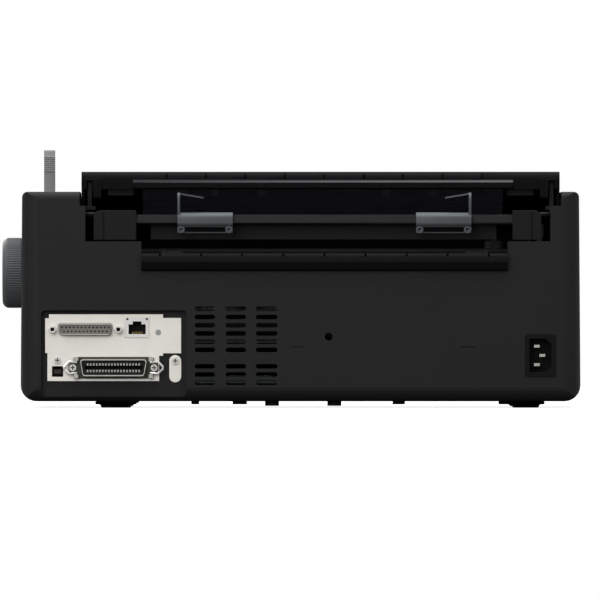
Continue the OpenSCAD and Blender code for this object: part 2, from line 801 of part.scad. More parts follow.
motor_r = 21;
module feed_motor() in_frame() color("#3a3b3d")
    difference() {
        union() {
            rod_x(frame_x1 - 30, frame_x1, pinion_y, pinion_z, motor_r);
            // square flange against the frame
            block(
                [frame_x1 - 2, pinion_y - motor_r - 3, pinion_z - 12],
                [frame_x1, pinion_y + motor_r + 3, pinion_z + 12]
            );
        }
        rod_x(frame_x1 - 25, frame_x1 + 1, pinion_y, pinion_z, 2 + fit);
    }

module motor_pinion() in_frame() color("#b9975b") {
    gear(pinion_teeth, pinion_y, pinion_z, 90, 2 - eps);
    rod_x(frame_x1 - 20, gear_x + gear_w, pinion_y, pinion_z, 2);
}

module tractor_rod() in_frame() color("#c9cbcc")
    rod_x(frame_x0 - sheet, frame_x1 + sheet, rod_y, rod_z, rod_r);

// Square drive shaft with round journals and its gear
module tractor_shaft() in_frame() color("#c9cbcc") {
    block([frame_x0 + 2, tractor_y - 3, tractor_z - 3], [frame_x1 - 2, tractor_y + 3, tractor_z + 3]);
    rod_x(frame_x0 - sheet - 1, gear_x + gear_w, tractor_y, tractor_z, tractor_journal);
    gear(tractor_teeth, tractor_y, tractor_z, 180 / tractor_teeth, tractor_journal - eps);
}

module feed_roller() in_frame() color("#26262a") {
    rod_x(frame_x0 - sheet - 1, frame_x1 + sheet + 1, feed_y, feed_z, feed_journal);
    for (x = [-105, -55, 0, 55, 105])
        rod_x(path_x + x - 14, path_x + x + 14, feed_y, feed_z, feed_r);
}

// ---- Carriage and ribbon ----

belt_z = channel_z + 4;
belt_h = 6;
carriage_w = 52;
head_w = 36;
carriage_top = guide_z + 16;
ribbon_z = platen_z + 1.6;         // underside of the ribbon cartridge
ribbon_y = platen_y - platen_r - 1.6; // face of the ribbon towards the print head

module carriage() in_frame() color("#2b2b2e")
    difference() {
        union() {
            block(
                [path_x - carriage_w / 2, guide_y - 16, belt_z + belt_h + 4],
                [path_x + carriage_w / 2, guide_y + 16, carriage_top]
            );
            // foot on the front rail and clamp on the rear run of the belt
            block([path_x - 12, rail_y + 2, rail_z + seat], [path_x + 12, guide_y, carriage_top]);
            block(
                [path_x - 8, guide_y + pulley_r + seat + 1.2 + seat, belt_z],
                [path_x + 8, guide_y + pulley_r + 6, belt_z + belt_h + 5]
            );
        }
        rod_x(path_x - carriage_w, path_x + carriage_w, guide_y, guide_z, guide_r + fit);
    }

module print_head() in_frame() color("#9fa2a4")
    difference() {
        union() {
            block(
                [path_x - head_w / 2, guide_y - 20, carriage_top],
                [path_x + head_w / 2, guide_y + 10, carriage_top + 24]
            );
            block([path_x - 5, guide_y + 9, carriage_top + 4], [path_x + 5, ribbon_y - 0.4, carriage_top + 16]);
        }
        // cooling fins
        for (i = [0:4])
            block(
                [path_x - head_w, guide_y - 18 + i * 5, carriage_top + 5],
                [path_x - 4, guide_y - 15.5 + i * 5, carriage_top + 25]
            );
        for (i = [0:4])
            block(
                [path_x + 4, guide_y - 18 + i * 5, carriage_top + 5],
                [path_x + head_w, guide_y - 15.5 + i * 5, carriage_top + 25]
            );
    }

module carriage_motor() in_frame() color("#3a3b3d")
    difference() {
        translate([motor_x, guide_y, 14]) cylinder(r = 18, h = channel_z - 14);
        translate([motor_x, guide_y, 28]) cylinder(r = 2 + fit, h = 30);
    }

module drive_pulley() in_frame() color("#b9975b")
    translate([motor_x, guide_y, 0]) {
        translate([0, 0, belt_z]) cylinder(r = pulley_r, h = belt_h);
        translate([0, 0, 30]) cylinder(r = 2, h = belt_z - 30 + 1);
    }

module tension_pulley() in_frame() color("#b9975b")
    translate([tension_x, guide_y, belt_z]) difference() {
        cylinder(r = pulley_r, h = belt_h);
        translate([0, 0, -1]) cylinder(r = 2 + fit, h = belt_h + 2);
    }

module belt_loop(r) {
    for (x = [motor_x, tension_x]) translate([x, guide_y]) circle(r);
    translate([motor_x, guide_y - r]) square([tension_x - motor_x, 2 * r]);
}

module carriage_belt() in_frame() color("#141416")
    translate([0, 0, belt_z + 0.5]) linear_extrude(belt_h - 1) difference() {
        belt_loop(pulley_r + seat + 1.2);
        belt_loop(pulley_r + seat);
    }

arm_x = [[frame_x0 + 2, frame_x0 + 13], [frame_x1 - 13, frame_x1 - 2]];
ribbon_knob_x = frame_x0 + 23;
ribbon_knob_y = guide_y - 54;
module ribbon_cartridge() in_frame() color("#232325")
    difference() {
        union() {
            block([frame_x0 - 3.2, guide_y - 77, ribbon_z], [frame_x1 + 3.2, guide_y - 30, ribbon_z + 16]);
            for (x = arm_x) block([x[0], guide_y - 31, ribbon_z], [x[1], ribbon_y, ribbon_z + 14]);
        }
        translate([ribbon_knob_x, ribbon_knob_y, ribbon_z + 6]) cylinder(r = 2 + fit, h = 20);
    }

module ink_ribbon() in_frame() color("#0c0c0e")
    block([arm_x[0].x + 4, ribbon_y, ribbon_z + 1], [arm_x[1].y - 4, ribbon_y + 0.3, ribbon_z + 13]);

module ribbon_knob() in_frame() color(grey_colour)
    translate([ribbon_knob_x, ribbon_knob_y, 0]) {
        translate([0, 0, ribbon_z + 16 + seat]) linear_extrude(5.5) polygon(ribbed(7, 0.6, 24));
        translate([0, 0, ribbon_z + 7]) cylinder(r = 2, h = 16);
    }

lever_hub_x = frame_x0 - 12;
module thickness_lever() in_frame() color(grey_colour)
    difference() {
        union() {
            rod_x(lever_hub_x, lever_hub_x + 7, guide_y, guide_z, 9);
            along_x(lever_hub_x + 1, lever_hub_x + 5)
                polygon([
                    [guide_y - 6, guide_z], [guide_y + 6, guide_z],
                    [guide_y - 4, guide_z + 56], [guide_y - 12, guide_z + 56]
                ]);
            block([lever_hub_x, guide_y - 13, guide_z + 52], [lever_hub_x + 7, guide_y - 3, guide_z + 62]);
        }
        rod_x(lever_hub_x - 1, lever_hub_x + 8, guide_y, guide_z, guide_r - 1 + fit);
    }

lever_t = 5;
lever_rib_pitch = 1.43;
module release_lever() in_frame() color("#7b7b7b")
    difference() {
        union() {
            along_x(lever_x - lever_w / 2, lever_x + lever_w / 2)
                polygon(rounded(
                    [
                        [lever_y - lever_t / 2, lever_pivot_z], [lever_y + lever_t / 2, lever_pivot_z],
                        [lever_y + lever_t / 2, lever_top], [lever_y - lever_t / 2, lever_top]
                    ],
                    [0, 0, 1.2, 1.2]
                ));
            rod_x(lever_x - lever_w / 2, lever_x + lever_w / 2, lever_y, lever_pivot_z, 6);
            // grip ribs on both faces
            for (i = [0:7])
                block(
                    [lever_x - lever_w / 2, lever_y - lever_t / 2 - 0.6, lever_top - 5.4 - i * lever_rib_pitch],
                    [lever_x + lever_w / 2, lever_y + lever_t / 2 + 0.6, lever_top - 4.7 - i * lever_rib_pitch]
                );
        }
        rod_x(lever_x - lever_w, lever_x + lever_w, lever_y, lever_pivot_z, 3 + fit);
    }

// ---- Tractors ----

tractor_top = rod_z + 15;
flap_z = tractor_top + 4.8;
tractor_y0 = rod_y - 12;           // front and rear ends of a tractor
tractor_y1 = rod_y + 33;
function tractor_mid(side) = path_x + side * tractor_x;
function flap_hinge(side) = tractor_mid(side) + side * (tractor_w / 2 - 2);

module tractor(side) in_frame() color("#c8c2b0")
    difference() {
        union() {
            along_x(tractor_mid(side) - tractor_w / 2, tractor_mid(side) + tractor_w / 2)
                polygon(rounded(
                    [
                        [tractor_y0, rod_z - 8.4], [tractor_y1, rod_z - 6],
                        [tractor_y1, tractor_top], [tractor_y0, tractor_top]
                    ],
                    [8, 8, 6, 6]
                ));
            for (i = [-1:1])
                translate([tractor_mid(side) - side * 2, tractor_y0 + 22.5 + i * pin_pitch, tractor_top - 1])
                    cylinder(r = 1.5, h = 4.4);
            for (y = [tractor_y0, tractor_y1 - 2.5])
                block(
                    [flap_hinge(side) - 2, y, tractor_top - 8],
                    [flap_hinge(side) + 2, y + 2.5, flap_z + 2]
                );
        }
        rod_x(tractor_mid(side) - 20, tractor_mid(side) + 20, rod_y, rod_z, rod_r + fit);
        rod_x(tractor_mid(side) - 20, tractor_mid(side) + 20, tractor_y, tractor_z, 4.6);
        rod_y_axis(flap_hinge(side), tractor_y0 - 1, tractor_y1 + 1, flap_z, 1.2 + fit);
    }
module tractor_left() tractor(-1);
module tractor_right() tractor(1);

module tractor_flap(side) in_frame() color("#3c3d40") {
    hinge_x = flap_hinge(side);
    tip_x = tractor_mid(side) - side * 9;
    slot_x = tractor_mid(side) - side * 2;
    difference() {
        union() {
            block(
                [min(hinge_x, tip_x), tractor_y0 + 3, flap_z - 0.7],
                [max(hinge_x, tip_x), tractor_y1 - 3, flap_z + 0.7]
            );
            rod_y_axis(hinge_x, tractor_y0 + 3, tractor_y1 - 3, flap_z, 1.8);
        }
        block([slot_x - 2.2, tractor_y0 + 6, flap_z - 3], [slot_x + 2.2, tractor_y1 - 6, flap_z + 3]);
    }
    rod_y_axis(hinge_x, tractor_y0 + 0.4, tractor_y1 - 0.4, flap_z, 1.2);
}
module tractor_flap_left() tractor_flap(-1);
module tractor_flap_right() tractor_flap(1);

// ---- Covers ----

skirt_z = pod_h + 1.9;             // lower edge of the cover's rear skirt
window_x0 = cover_x0 + 35.4;
window_x1 = cover_x1 - 38.8;
window_y0 = cover_front + 26;
window_y1 = slope_y - 22;
band_out = 1.8;                    // how far the band along the skirt stands out
band_z = skirt_z + 5;              // where the band starts to slope back to the skirt
cover_mid = (cover_x0 + cover_x1) / 2;
cover_half = (cover_x1 - cover_x0) / 2;

// Y-Z outline of the top cover, moved in by d, with its lower edge at z
function cover_side(d, z) = [
    [cover_rear - d, z], [cover_rear - d, cover_h - d],
    [slope_y + d * tan(slope / 2), cover_h - d],
    [cover_front + d, fall(cover_front + d, cover_h) - d / cos(slope)],
    [cover_front + d, fall(cover_front + d, z)], [slope_y, z]
];

// Moves a piece on to the falling part of the cover, with +Z out of the surface
module on_cover(y) {
    translate([0, y, fall(y, cover_h)]) rotate([slope, 0, 0]) children();
}

// Rounded band with a bevelled upper edge along the middle of the rear skirt
module skirt_band() {
    along_x(cover_x0 + 33.4, cover_x1 - 36.8)
        polygon(rounded(
            [
                [cover_rear - 1, skirt_z], [cover_rear + band_out, skirt_z],
                [cover_rear + band_out, band_z], [cover_rear, band_z + band_out], [cover_rear - 1, band_z + band_out]
            ],
            [0, 1.6, 0.5, 0, 0]
        ));
}

// Outer end of the rear skirt: a tapering cheek, and between it and the band a deeper panel with a lip
module skirt_end() {
    along_y(cover_rear - cover_wall, cover_rear + 0.6)
        polygon([
            [cover_half - 14.8, cover_pivot_z + 3.5], [cover_half - 14, skirt_z - 6], [cover_half - 8.2, skirt_z - 6],
            [cover_half - 8.2, skirt_z], [cover_half - 3, skirt_z], [cover_half - 1.6, cover_pivot_z + 3.5]
        ]);
    block([cover_half - 37.6, cover_rear - cover_wall, skirt_z - 4.5], [cover_half - 18.8, cover_rear - 0.4, skirt_z + 1]);
    block([cover_half - 37.6, cover_rear - cover_wall, skirt_z - 4.5], [cover_half - 18.8, cover_rear + 1.1, skirt_z - 3.2]);
}

module top_cover() in_frame() color(cover_colour) {
    difference() {
        union() {
            difference() {
                along_x(cover_x0, cover_x1)
                    polygon(rounded(cover_side(0, ledge_z + seat), [0, 5, 25, 9, 0, 0]));
                along_x(cover_x0 + cover_wall, cover_x1 - cover_wall)
                    polygon(rounded(cover_side(cover_wall, ledge_z - 20), [0, 5 - cover_wall, 22, 9 - cover_wall, 0, 0]));
                // the rear skirt ends higher than the side skirts, which stop at the hinge
                block([cover_x0 - 1, cover_rear - 5.5, 0], [cover_x1 + 1, rear, skirt_z]);
                on_cover(window_y0)
                    block([window_x0, 0, -9], [window_x1, (window_y1 - window_y0) / cos(slope), 9]);
            }
            skirt_band();
            for (side = [0, 1]) translate([cover_mid, 0, 0]) mirror([side, 0, 0]) skirt_end();
        }
        // notches that let the hinge posts through the skirt as the cover opens
        for (x = [post_x0, post_x1 - post_w])
            block([x - 0.5, cover_rear - 5.5, 0], [x + post_w + 0.5, rear, cover_pivot_z + 2.2]);
        // nine fine grooves across the rear edge
        for (i = [-4:4])
            block(
                [path_x + i * 28.2 - 0.6, cover_rear - 1.6, cover_h - 5.5],
                [path_x + i * 28.2 + 0.6, cover_rear + 1, cover_h + 1]
            );
    }
    // rim that carries the window
    on_cover(window_y0) difference() {
        length = (window_y1 - window_y0) / cos(slope);
        block([window_x0 - 4, -4, -cover_wall - 1.6], [window_x1 + 4, length + 4, -cover_wall + eps]);
        block([window_x0 + 4, 4, -9], [window_x1 - 4, length - 4, 9]);
    }
    // four tabs under the rear skirt
    for (x = [[58.2, 64.2], [24.4, 30.9], [-64.8, -58.2], [-98, -92]]) {
        block([x[0], cover_rear - 0.8, skirt_z - 5], [x[1], cover_rear + 0.8, skirt_z + 1]);
        block([x[0], cover_rear, skirt_z + 1], [x[1], cover_rear + band_out + 0.25, band_z - 0.4]);
    }
    // hinge pins
    for (x = [[cover_x0 + 1, post_x0 + post_w + 0.5], [post_x1 - post_w - 0.5, cover_x1 - 1]])
        rod_x(x[0], x[1], post_y, cover_pivot_z, cover_pin_r);
}

module cover_window() in_frame() color([0.12, 0.12, 0.13, 0.5])
    on_cover(window_y0)
        block(
            [window_x0 + 0.3, 0.3, -cover_wall + eps],
            [window_x1 - 0.3, (window_y1 - window_y0) / cos(slope) - 0.3, -0.3]
        );

flap_pin_r = 1.5;
flap_pivot_y = front + 3;
flap_pivot_z = front_z0 + 4.5;
module front_cover() in_frame() color("#2a2a2d") {
    along_y(front, front + 2.2)
        round_rect([front_x0 + 0.6, front_z0 + 1.6], [front_x1 - 0.6, front_z1 - 0.6], 3);
    // grip along the upper edge
    along_x(path_x - 30, path_x + 30)
        polygon([
            [front, front_z1 - 8], [front + 1, front_z1 - 1.5],
            [front - grip_out + 1.2, front_z1 - 1.5], [front - grip_out, front_z1 - 3]
        ]);
    for (x = [front_x0 + 0.6, front_x1 - 3.6])
        block([x, front + 2, front_z0 + 2.6], [x + 3, front + 5, front_z0 + 7]);
    for (x = [[front_x0 - 3.6, front_x0 + 1], [front_x1 - 1, front_x1 + 3.6]])
        rod_x(x[0], x[1], flap_pivot_y, flap_pivot_z, flap_pin_r);
}

// ---- Paper guide ----

rail_top = pod_h - 16.4;
tray_z = pod_h - 23.1;
tray_t = 2.4;
tray_y0 = rear - 59.5;
rail_y0 = rear - 14.5;             // front and rear faces of the rail
rail_y1 = rail_y0 + 5;
box_top = pod_h - 13.2;
box_bottom = pod_h - 34.4;
box_x0 = bay_x0 + 6.5;             // outer faces of the two end boxes
box_x1 = bay_x1 - 6;
box_y0 = rear - 44.5;
box_y1 = rear - 6.5;
rail_x0 = box_x0 + box_left_w;
rail_x1 = box_x1 - box_right_w;

module end_box(x0, x1, outer) {
    radii = outer > 0 ? [0, 0, 5, 1] : [0, 0, 1, 5];
    t = 2;
    difference() {
        along_y(box_y0, box_y1)
            polygon(rounded([[x0, box_bottom], [x1, box_bottom], [x1, box_top], [x0, box_top]], radii));
        along_y(box_y0 + t, box_y1 - t)
            polygon([[x0 + t, box_bottom - 1], [x1 - t, box_bottom - 1], [x1 - t, box_top - 5], [x0 + t, box_top - 5]]);
        // groove between the outer band of the rear face and the rest
        along_y(box_y1 - 0.5, box_y1 + 1)
            translate([(outer > 0 ? x1 - 7.2 : x0 + 6.6) - 0.4, box_bottom - 1]) square([0.8, box_top - box_bottom - 1]);
    }
}

module paper_guide() in_frame() color("#2c2c2f") {
    block([rail_x0 - 1, tray_y0, tray_z], [rail_x1 + 1, rail_y0 + 1, tray_z + tray_t]);
    block([rail_x0 - 1, rail_y0, tray_z + 1], [rail_x1 + 1, rail_y1, rail_top]);
    // plate that hangs from the tray, well in front of the rail
    block([path_x - 123, rail_y0 - 12, pod_h - 34.1], [path_x + 124.2, rail_y0 - 9.6, tray_z + 1.5]);
    end_box(rail_x1, box_x1, 1);
    end_box(box_x0, rail_x0, -1);
    for (x = [[box_x1 - 1, bay_x1 + wall - 0.4], [bay_x0 - wall + 0.4, box_x0 + 1]])
        rod_x(x[0], x[1], guide_pivot_y, guide_pivot_z, 2.5);
}

// Clip that slides along the rail, with a fin that the edge of the paper runs along
fin_t = 1.8;
module edge_guide(side) in_frame() color("#55585a") {
    outer = path_x + side * (fin_gap / 2 + fin_t);
    inner = outer - side * edge_w;
    x0 = min(outer, inner);
    x1 = max(outer, inner);
    fin_x = side > 0 ? x1 - fin_t : x0;
    low_z = tray_z - 6.5;          // lower edge of the tongue
    fin_top = pod_h - 0.7;
    bulge = rail_y1 + 4.2;         // rear face of the rounded clip
    ring_r = 2.4;
    // clip over the rail, with a thinner tongue below its rounded face that is open between the rings
    difference() {
        along_x(x0, x1) polygon(rounded(
            [
                [rail_y1 + seat, low_z], [rail_y1 + 1.8, low_z], [rail_y1 + 1.8, tray_z - 2.2],
                [bulge, tray_z - 0.2], [bulge, rail_top - 1], [rail_y1 + 1.5, rail_top + 1.6],
                [rail_y0 - 2.8, rail_top + 1.6], [rail_y0 - 2.8, tray_z + tray_t + seat],
                [rail_y0 - seat, tray_z + tray_t + seat], [rail_y0 - seat, rail_top + seat],
                [rail_y1 + seat, rail_top + seat]
            ],
            [0, 0.6, 0, 2.4, 2.8, 2, 1, 0, 0, 0, 0]
        ));
        block(
            [x0 + 2 * ring_r + 0.4, rail_y1 - 1, low_z + 0.8],
            [x1 - 2 * ring_r - 0.4, bulge + 1, tray_z - 2.2]
        );
    }
    // fin and its folded-in upper edge
    along_x(fin_x, fin_x + fin_t) polygon(rounded(
        [
            [rail_y0 - 2.3, tray_z + tray_t + seat], [rail_y0 - 1, rail_top + seat], [rail_y1 + 3.3, rail_top + seat],
            [rail_y1 + 3.3, fin_top], [rail_y0 - 31, fin_top],
            [rail_y0 - 37, fin_top - 13.4], [rail_y0 - 37, tray_z + tray_t + seat]
        ],
        [0, 0, 0, 4, 8, 8, 0]
    ));
    along_y(rail_y0 - 30, rail_y1)
        polygon([
            [outer, fin_top], [outer, fin_top - 1.1],
            [outer - side * 18.5, fin_top - 4.2], [outer - side * 18.5, fin_top - 3.1]
        ]);
    // rings at both lower corners
    for (x = [x0 + 2.6, x1 - 2.6])
        difference() {
            rod_y_axis(x, rail_y1 + 1.8 - eps, rail_y1 + 4, low_z + ring_r, ring_r);
            rod_y_axis(x, rail_y1 + 1.8, rail_y1 + 5, low_z + ring_r, 1.5);
        }
}
module edge_guide_left() edge_guide(-1);
module edge_guide_right() edge_guide(1);

// ---- Sockets ----

plate_t = 1.2;
plate_y0 = rear - recess_d;
plate_y1 = plate_y0 + plate_t;
serial_x = recess_x0 + 72.1;
serial_z = 55.9;
net_x0 = recess_x0 + 26.8;
net_x1 = net_x0 + 16.8;
net_mid = (net_x0 + net_x1) / 2;
net_z0 = 50.1;
net_z1 = 64.8;
light_x = recess_x0 + 20.2;        // indicator light beside the network socket
light_z = 53.9;
usb_x = recess_x0 + 91.9;
usb_z = 25.9;
parallel_x = recess_x0 + 52.1;
parallel_z = 28.6;
screw_places = [[recess_x0 + 92.15, 33.85], [parallel_x + 29, parallel_z], [parallel_x - 29, parallel_z]];
blank_x = recess_x0 + 8.05;
blank_screw_z = 33.4;

// Rectangle about a centre
module centred_rect(x, z, w, h, r) {
    round_rect([x - w / 2, z - h / 2], [x + w / 2, z + h / 2], r);
}

// D-shaped outline, wider at its top
module d_shape(x, z, w, h, r) {
    lean = h * tan(10);
    translate([x, z]) polygon(rounded(
        [[lean - w / 2, -h / 2], [w / 2 - lean, -h / 2], [w / 2, h / 2], [-w / 2, h / 2]],
        [r, r, r, r]
    ));
}

// Openings that the metal plate and the floor of the recess share
module shared_holes(y0, y1) {
    along_y(y0, y1) {
        centred_rect(net_mid, (net_z0 + net_z1) / 2, net_x1 - net_x0, net_z1 - net_z0, 0.3);
        d_shape(parallel_x, parallel_z, 51.4, 13.6, 2);
        translate([light_x, light_z]) circle(1.9);
    }
}

// Openings in the floor of the recess, round the bodies that stand behind the plate
module socket_holes(y0, y1) {
    shared_holes(y0, y1);
    along_y(y0, y1) {
        centred_rect(serial_x, serial_z, flange_w + 2 * seat, flange_h + 2 * seat, 2);
        centred_rect(usb_x, usb_z, usb_body_w, usb_body_h, 0.3);
    }
}

module interface_plate() in_frame() color(plate_colour)
    difference() {
        along_y(plate_y0, plate_y1) translate([recess_x0, 0])
            polygon([
                [19.5, 19.1], [99.2, 19.1], [99.2, 39.1], [100.8, 39.1], [100.8, 63.9], [98.1, 63.9], [98.1, 66.7],
                [16.75, 66.7], [16.75, 64.1], [3.85, 64.1], [3.85, 38.9], [16.75, 38.9], [16.75, 37.1], [19.5, 37.1]
            ]);
        shared_holes(plate_y0 - 1, plate_y1 + 1);
        along_y(plate_y0 - 1, plate_y1 + 1) {
            d_shape(serial_x, serial_z, 40.4, 9.4, 2.5);
            centred_rect(usb_x, usb_z, usb_hole_w, usb_hole_h, 0.4);
            for (side = [-1, 1]) translate([serial_x + side * jack_gap / 2, serial_z]) circle(1.6);
        }
    }

flange_w = 53;
flange_h = 12.5;
module serial_socket() in_frame() color("#b8b9b7")
    difference() {
        union() {
            // flange behind the plate, body and shell
            along_y(plate_y0 - 0.8, plate_y0) centred_rect(serial_x, serial_z, flange_w, flange_h, 2);
            along_y(plate_y0 - 10, plate_y0) d_shape(serial_x, serial_z, 41, 10.5, 2.5);
            along_y(plate_y0 - eps, plate_y1 + 5) d_shape(serial_x, serial_z, 38.3, 7.9, 2.2);
        }
        along_y(plate_y0 - 1, plate_y0 + eps)
            for (side = [-1, 1]) translate([serial_x + side * jack_gap / 2, serial_z]) circle(1.6);
        along_y(plate_y1 + 4.5, plate_y1 + 6) d_shape(serial_x, serial_z, 37.3, 6.9, 1.7);
        along_y(plate_y1, plate_y1 + 6) {
            for (i = [-6:6]) translate([serial_x + i * 2.77, serial_z + 1.42]) circle(0.6, $fn = 16);
            for (i = [-6:5]) translate([serial_x + (i + 0.5) * 2.77, serial_z - 1.42]) circle(0.6, $fn = 16);
        }
    }

module network_socket() in_frame() color("#a7a8a8")
    difference() {
        along_y(plate_y0 - 14, plate_y1 + 0.8)
            centred_rect(net_mid, (net_z0 + net_z1) / 2, net_x1 - net_x0, net_z1 - net_z0, 0.3);
        // cavity of the plug, with the step for its latch above
        along_y(plate_y0 - 10, plate_y1 + 2) {
            centred_rect(net_mid, 56, 12.2, 7, 0.2);
            centred_rect(net_mid, 60.3, 6.2, 2.6, 0.2);
        }
        // two small openings at the top corners
        along_y(plate_y0, plate_y1 + 2)
            for (side = [-1, 1]) translate([net_mid + side * 6.9 - 0.7, 62.6]) square(1.4);
    }

usb_body_w = 12;
usb_body_h = 10.8;
usb_hole_w = 8;
usb_hole_h = 7.6;
module usb_socket() in_frame() color("#b8b9b7") {
    difference() {
        along_y(plate_y0 - 15, plate_y0) centred_rect(usb_x, usb_z, usb_body_w, usb_body_h, 0.3);
        along_y(plate_y0 - 9, plate_y0 + 1)
            translate([usb_x, usb_z]) polygon([
                [-4, -3.8], [4, -3.8], [4, 2], [2.2, 3.8], [-2.2, 3.8], [-4, 2]
            ]);
    }
    along_y(plate_y0 - 9.5, plate_y0) centred_rect(usb_x, usb_z, 5.6, 3.2, 0.2);
}

bail_gap = 53.4;                   // distance between the pivots of the two wire bails
bail_y = plate_y1 + 3.6;
bail_pin_r = 0.7;
lug_in = 4.8;
lug_out = 7.6;
slot_h = 2.8;                      // slot between the two rows of contacts
module parallel_socket() in_frame() color("#b4b5b3") {
    difference() {
        union() {
            along_y(plate_y1, plate_y1 + 1.2) {
                centred_rect(parallel_x, parallel_z, 57.3, 15.5, 1.5);
                centred_rect(parallel_x, parallel_z, 64, 6.8, 2);
            }
            along_y(plate_y0 - 12, plate_y1 + 1) d_shape(parallel_x, parallel_z, 51.4, 13.6, 2);
            along_y(plate_y1, plate_y1 + 8) d_shape(parallel_x, parallel_z, 48, 12.1, 2);
            for (x = [-1, 1], z = [-lug_out, lug_in])
                block(
                    [parallel_x + x * bail_gap / 2 - 1.6, plate_y1, parallel_z + z],
                    [parallel_x + x * bail_gap / 2 + 1.6, plate_y1 + 5.4, parallel_z + z + lug_out - lug_in]
                );
        }
        along_y(plate_y1 + 6, plate_y1 + 9) d_shape(parallel_x, parallel_z, 46.4, 10.5, 1.6);
        along_y(plate_y1 - 3, plate_y1 + 7) centred_rect(parallel_x, parallel_z, 41, slot_h, 0.3);
        for (x = [-1, 1])
            translate([parallel_x + x * bail_gap / 2, bail_y, parallel_z - 9]) cylinder(r = bail_pin_r + fit, h = 18);
        for (p = [screw_places[1], screw_places[2]]) rod_y_axis(p[0], plate_y1 - 1, plate_y1 + 2, p[1], 1.3);
    }
}

// Half of a bail's outline: out of its lug, along the side of the diamond and in to its point
module bail_half(side, z) {
    arm = lug_in - seat - bail_pin_r;
    polygon([
        [-side * bail_pin_r, z * (arm + bail_pin_r)], [side * 2.2, z * (arm + bail_pin_r)], [side * 5, z * 5.3],
        [side * 9.2, z * 1.2], [side * 9.2, 0], [side * 7.8, 0], [side * 7.8, z * 0.7],
        [side * 4.7, z * 3.8], [side * 2.4, z * (arm - bail_pin_r)], [-side * bail_pin_r, z * (arm - bail_pin_r)]
    ]);
}

module bail(side) in_frame() color("#c3c4c4")
    translate([parallel_x + side * bail_gap / 2, 0, parallel_z]) {
        along_y(bail_y - bail_pin_r, bail_y + bail_pin_r)
            for (z = [-1, 1]) bail_half(side, z);
        for (z = [-lug_out + 0.3, lug_in - seat - 2 * bail_pin_r])
            translate([0, bail_y, z]) cylinder(r = bail_pin_r, h = lug_out - 0.3 - lug_in + seat + 2 * bail_pin_r);
    }
module bail_left() bail(-1);
module bail_right() bail(1);

// Pan head with a cross recess, on a surface at y
module screw_head(x, y, z) {
    difference() {
        rod_y_axis(x, y, y + 1.4, z, 2.5);
        for (s = [[3.2, 0.7], [0.7, 3.2]])
            block([x - s[0] / 2, y + 0.6, z - s[1] / 2], [x + s[0] / 2, y + 2, z + s[1] / 2]);
    }
}

module connector_screws() in_frame() color("#c6c7c7") {
    screw_head(screw_places[0].x, plate_y1, screw_places[0].y);
    for (p = [screw_places[1], screw_places[2]]) screw_head(p.x, plate_y1 + 1.2, p.y);
    screw_head(blank_x, plate_y0 + 1, blank_screw_z);
    // hexagonal jack posts with their threaded holes
    for (side = [-1, 1]) difference() {
        union() {
            along_y(plate_y1, plate_y1 + 5.6)
                translate([serial_x + side * jack_gap / 2, serial_z]) circle(2.75, $fn = 6);
            rod_y_axis(serial_x + side * jack_gap / 2, plate_y0 - 4, plate_y1 + 1, serial_z, 1.6);
        }
        rod_y_axis(serial_x + side * jack_gap / 2, plate_y1 - 0.4, plate_y1 + 6, serial_z, 1.42);
    }
}

module blank_plate() in_frame() color(plate_colour)
    along_y(plate_y0, plate_y0 + 1) centred_rect(blank_x, 27.9, 8.5, 19.4, 4.2);

module mains_inlet() in_frame() color("#17171a")
    difference() {
        along_y(rear - 25, rear + 0.6) centred_rect(inlet_x, inlet_z, inlet_w, inlet_h, 2);
        along_y(rear - 16, rear + 2)
            translate([inlet_x, inlet_z]) polygon([
                [-7.8, -8.2], [-3.8, -12], [7.8, -12], [7.8, 12], [-3.8, 12], [-7.8, 8.2]
            ]);
    }

module inlet_pins() in_frame() color("#c9cacb")
    for (p = [[2.5, 6.6], [-1.4, 0], [2.5, -6.6]])
        block(
            [inlet_x + p[0] - 2.05, rear - 16, inlet_z + p[1] - 1],
            [inlet_x + p[0] + 2.05, rear - 3, inlet_z + p[1] + 1]
        );

bottom_case();
rubber_feet();
upper_housing();
paper_entry_lip();
control_panel();
indicator_lights();
side_frame_left();
side_frame_right();
guide_shaft();
carriage_rail();
main_board();
power_supply_board();
interface_plate();
serial_socket();
network_socket();
usb_socket();
parallel_socket();
connector_screws();
blank_plate();
mains_inlet();
inlet_pins();
feed_motor();
carriage_motor();
carriage_belt();
tractor_rod();
platen_roller();
platen_shaft();
platen_gear();
platen_knob();
idler_gear_front();
idler_gear_rear();
motor_pinion();
tractor_shaft();
feed_roller();
carriage();
print_head();
drive_pulley();
tension_pulley();
ribbon_cartridge();
ink_ribbon();
ribbon_knob();
thickness_lever();
release_lever();
top_cover();
cover_window();
front_cover();
paper_guide();
edge_guide_left();
edge_guide_right();
tractor_left();
tractor_right();
tractor_flap_left();
tractor_flap_right();
bail_left();
bail_right();
pause_button();
tear_button();
feed_button();
load_button();
power_rocker();
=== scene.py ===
"""Looks of a narrow-carriage impact printer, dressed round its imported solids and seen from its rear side."""
import math

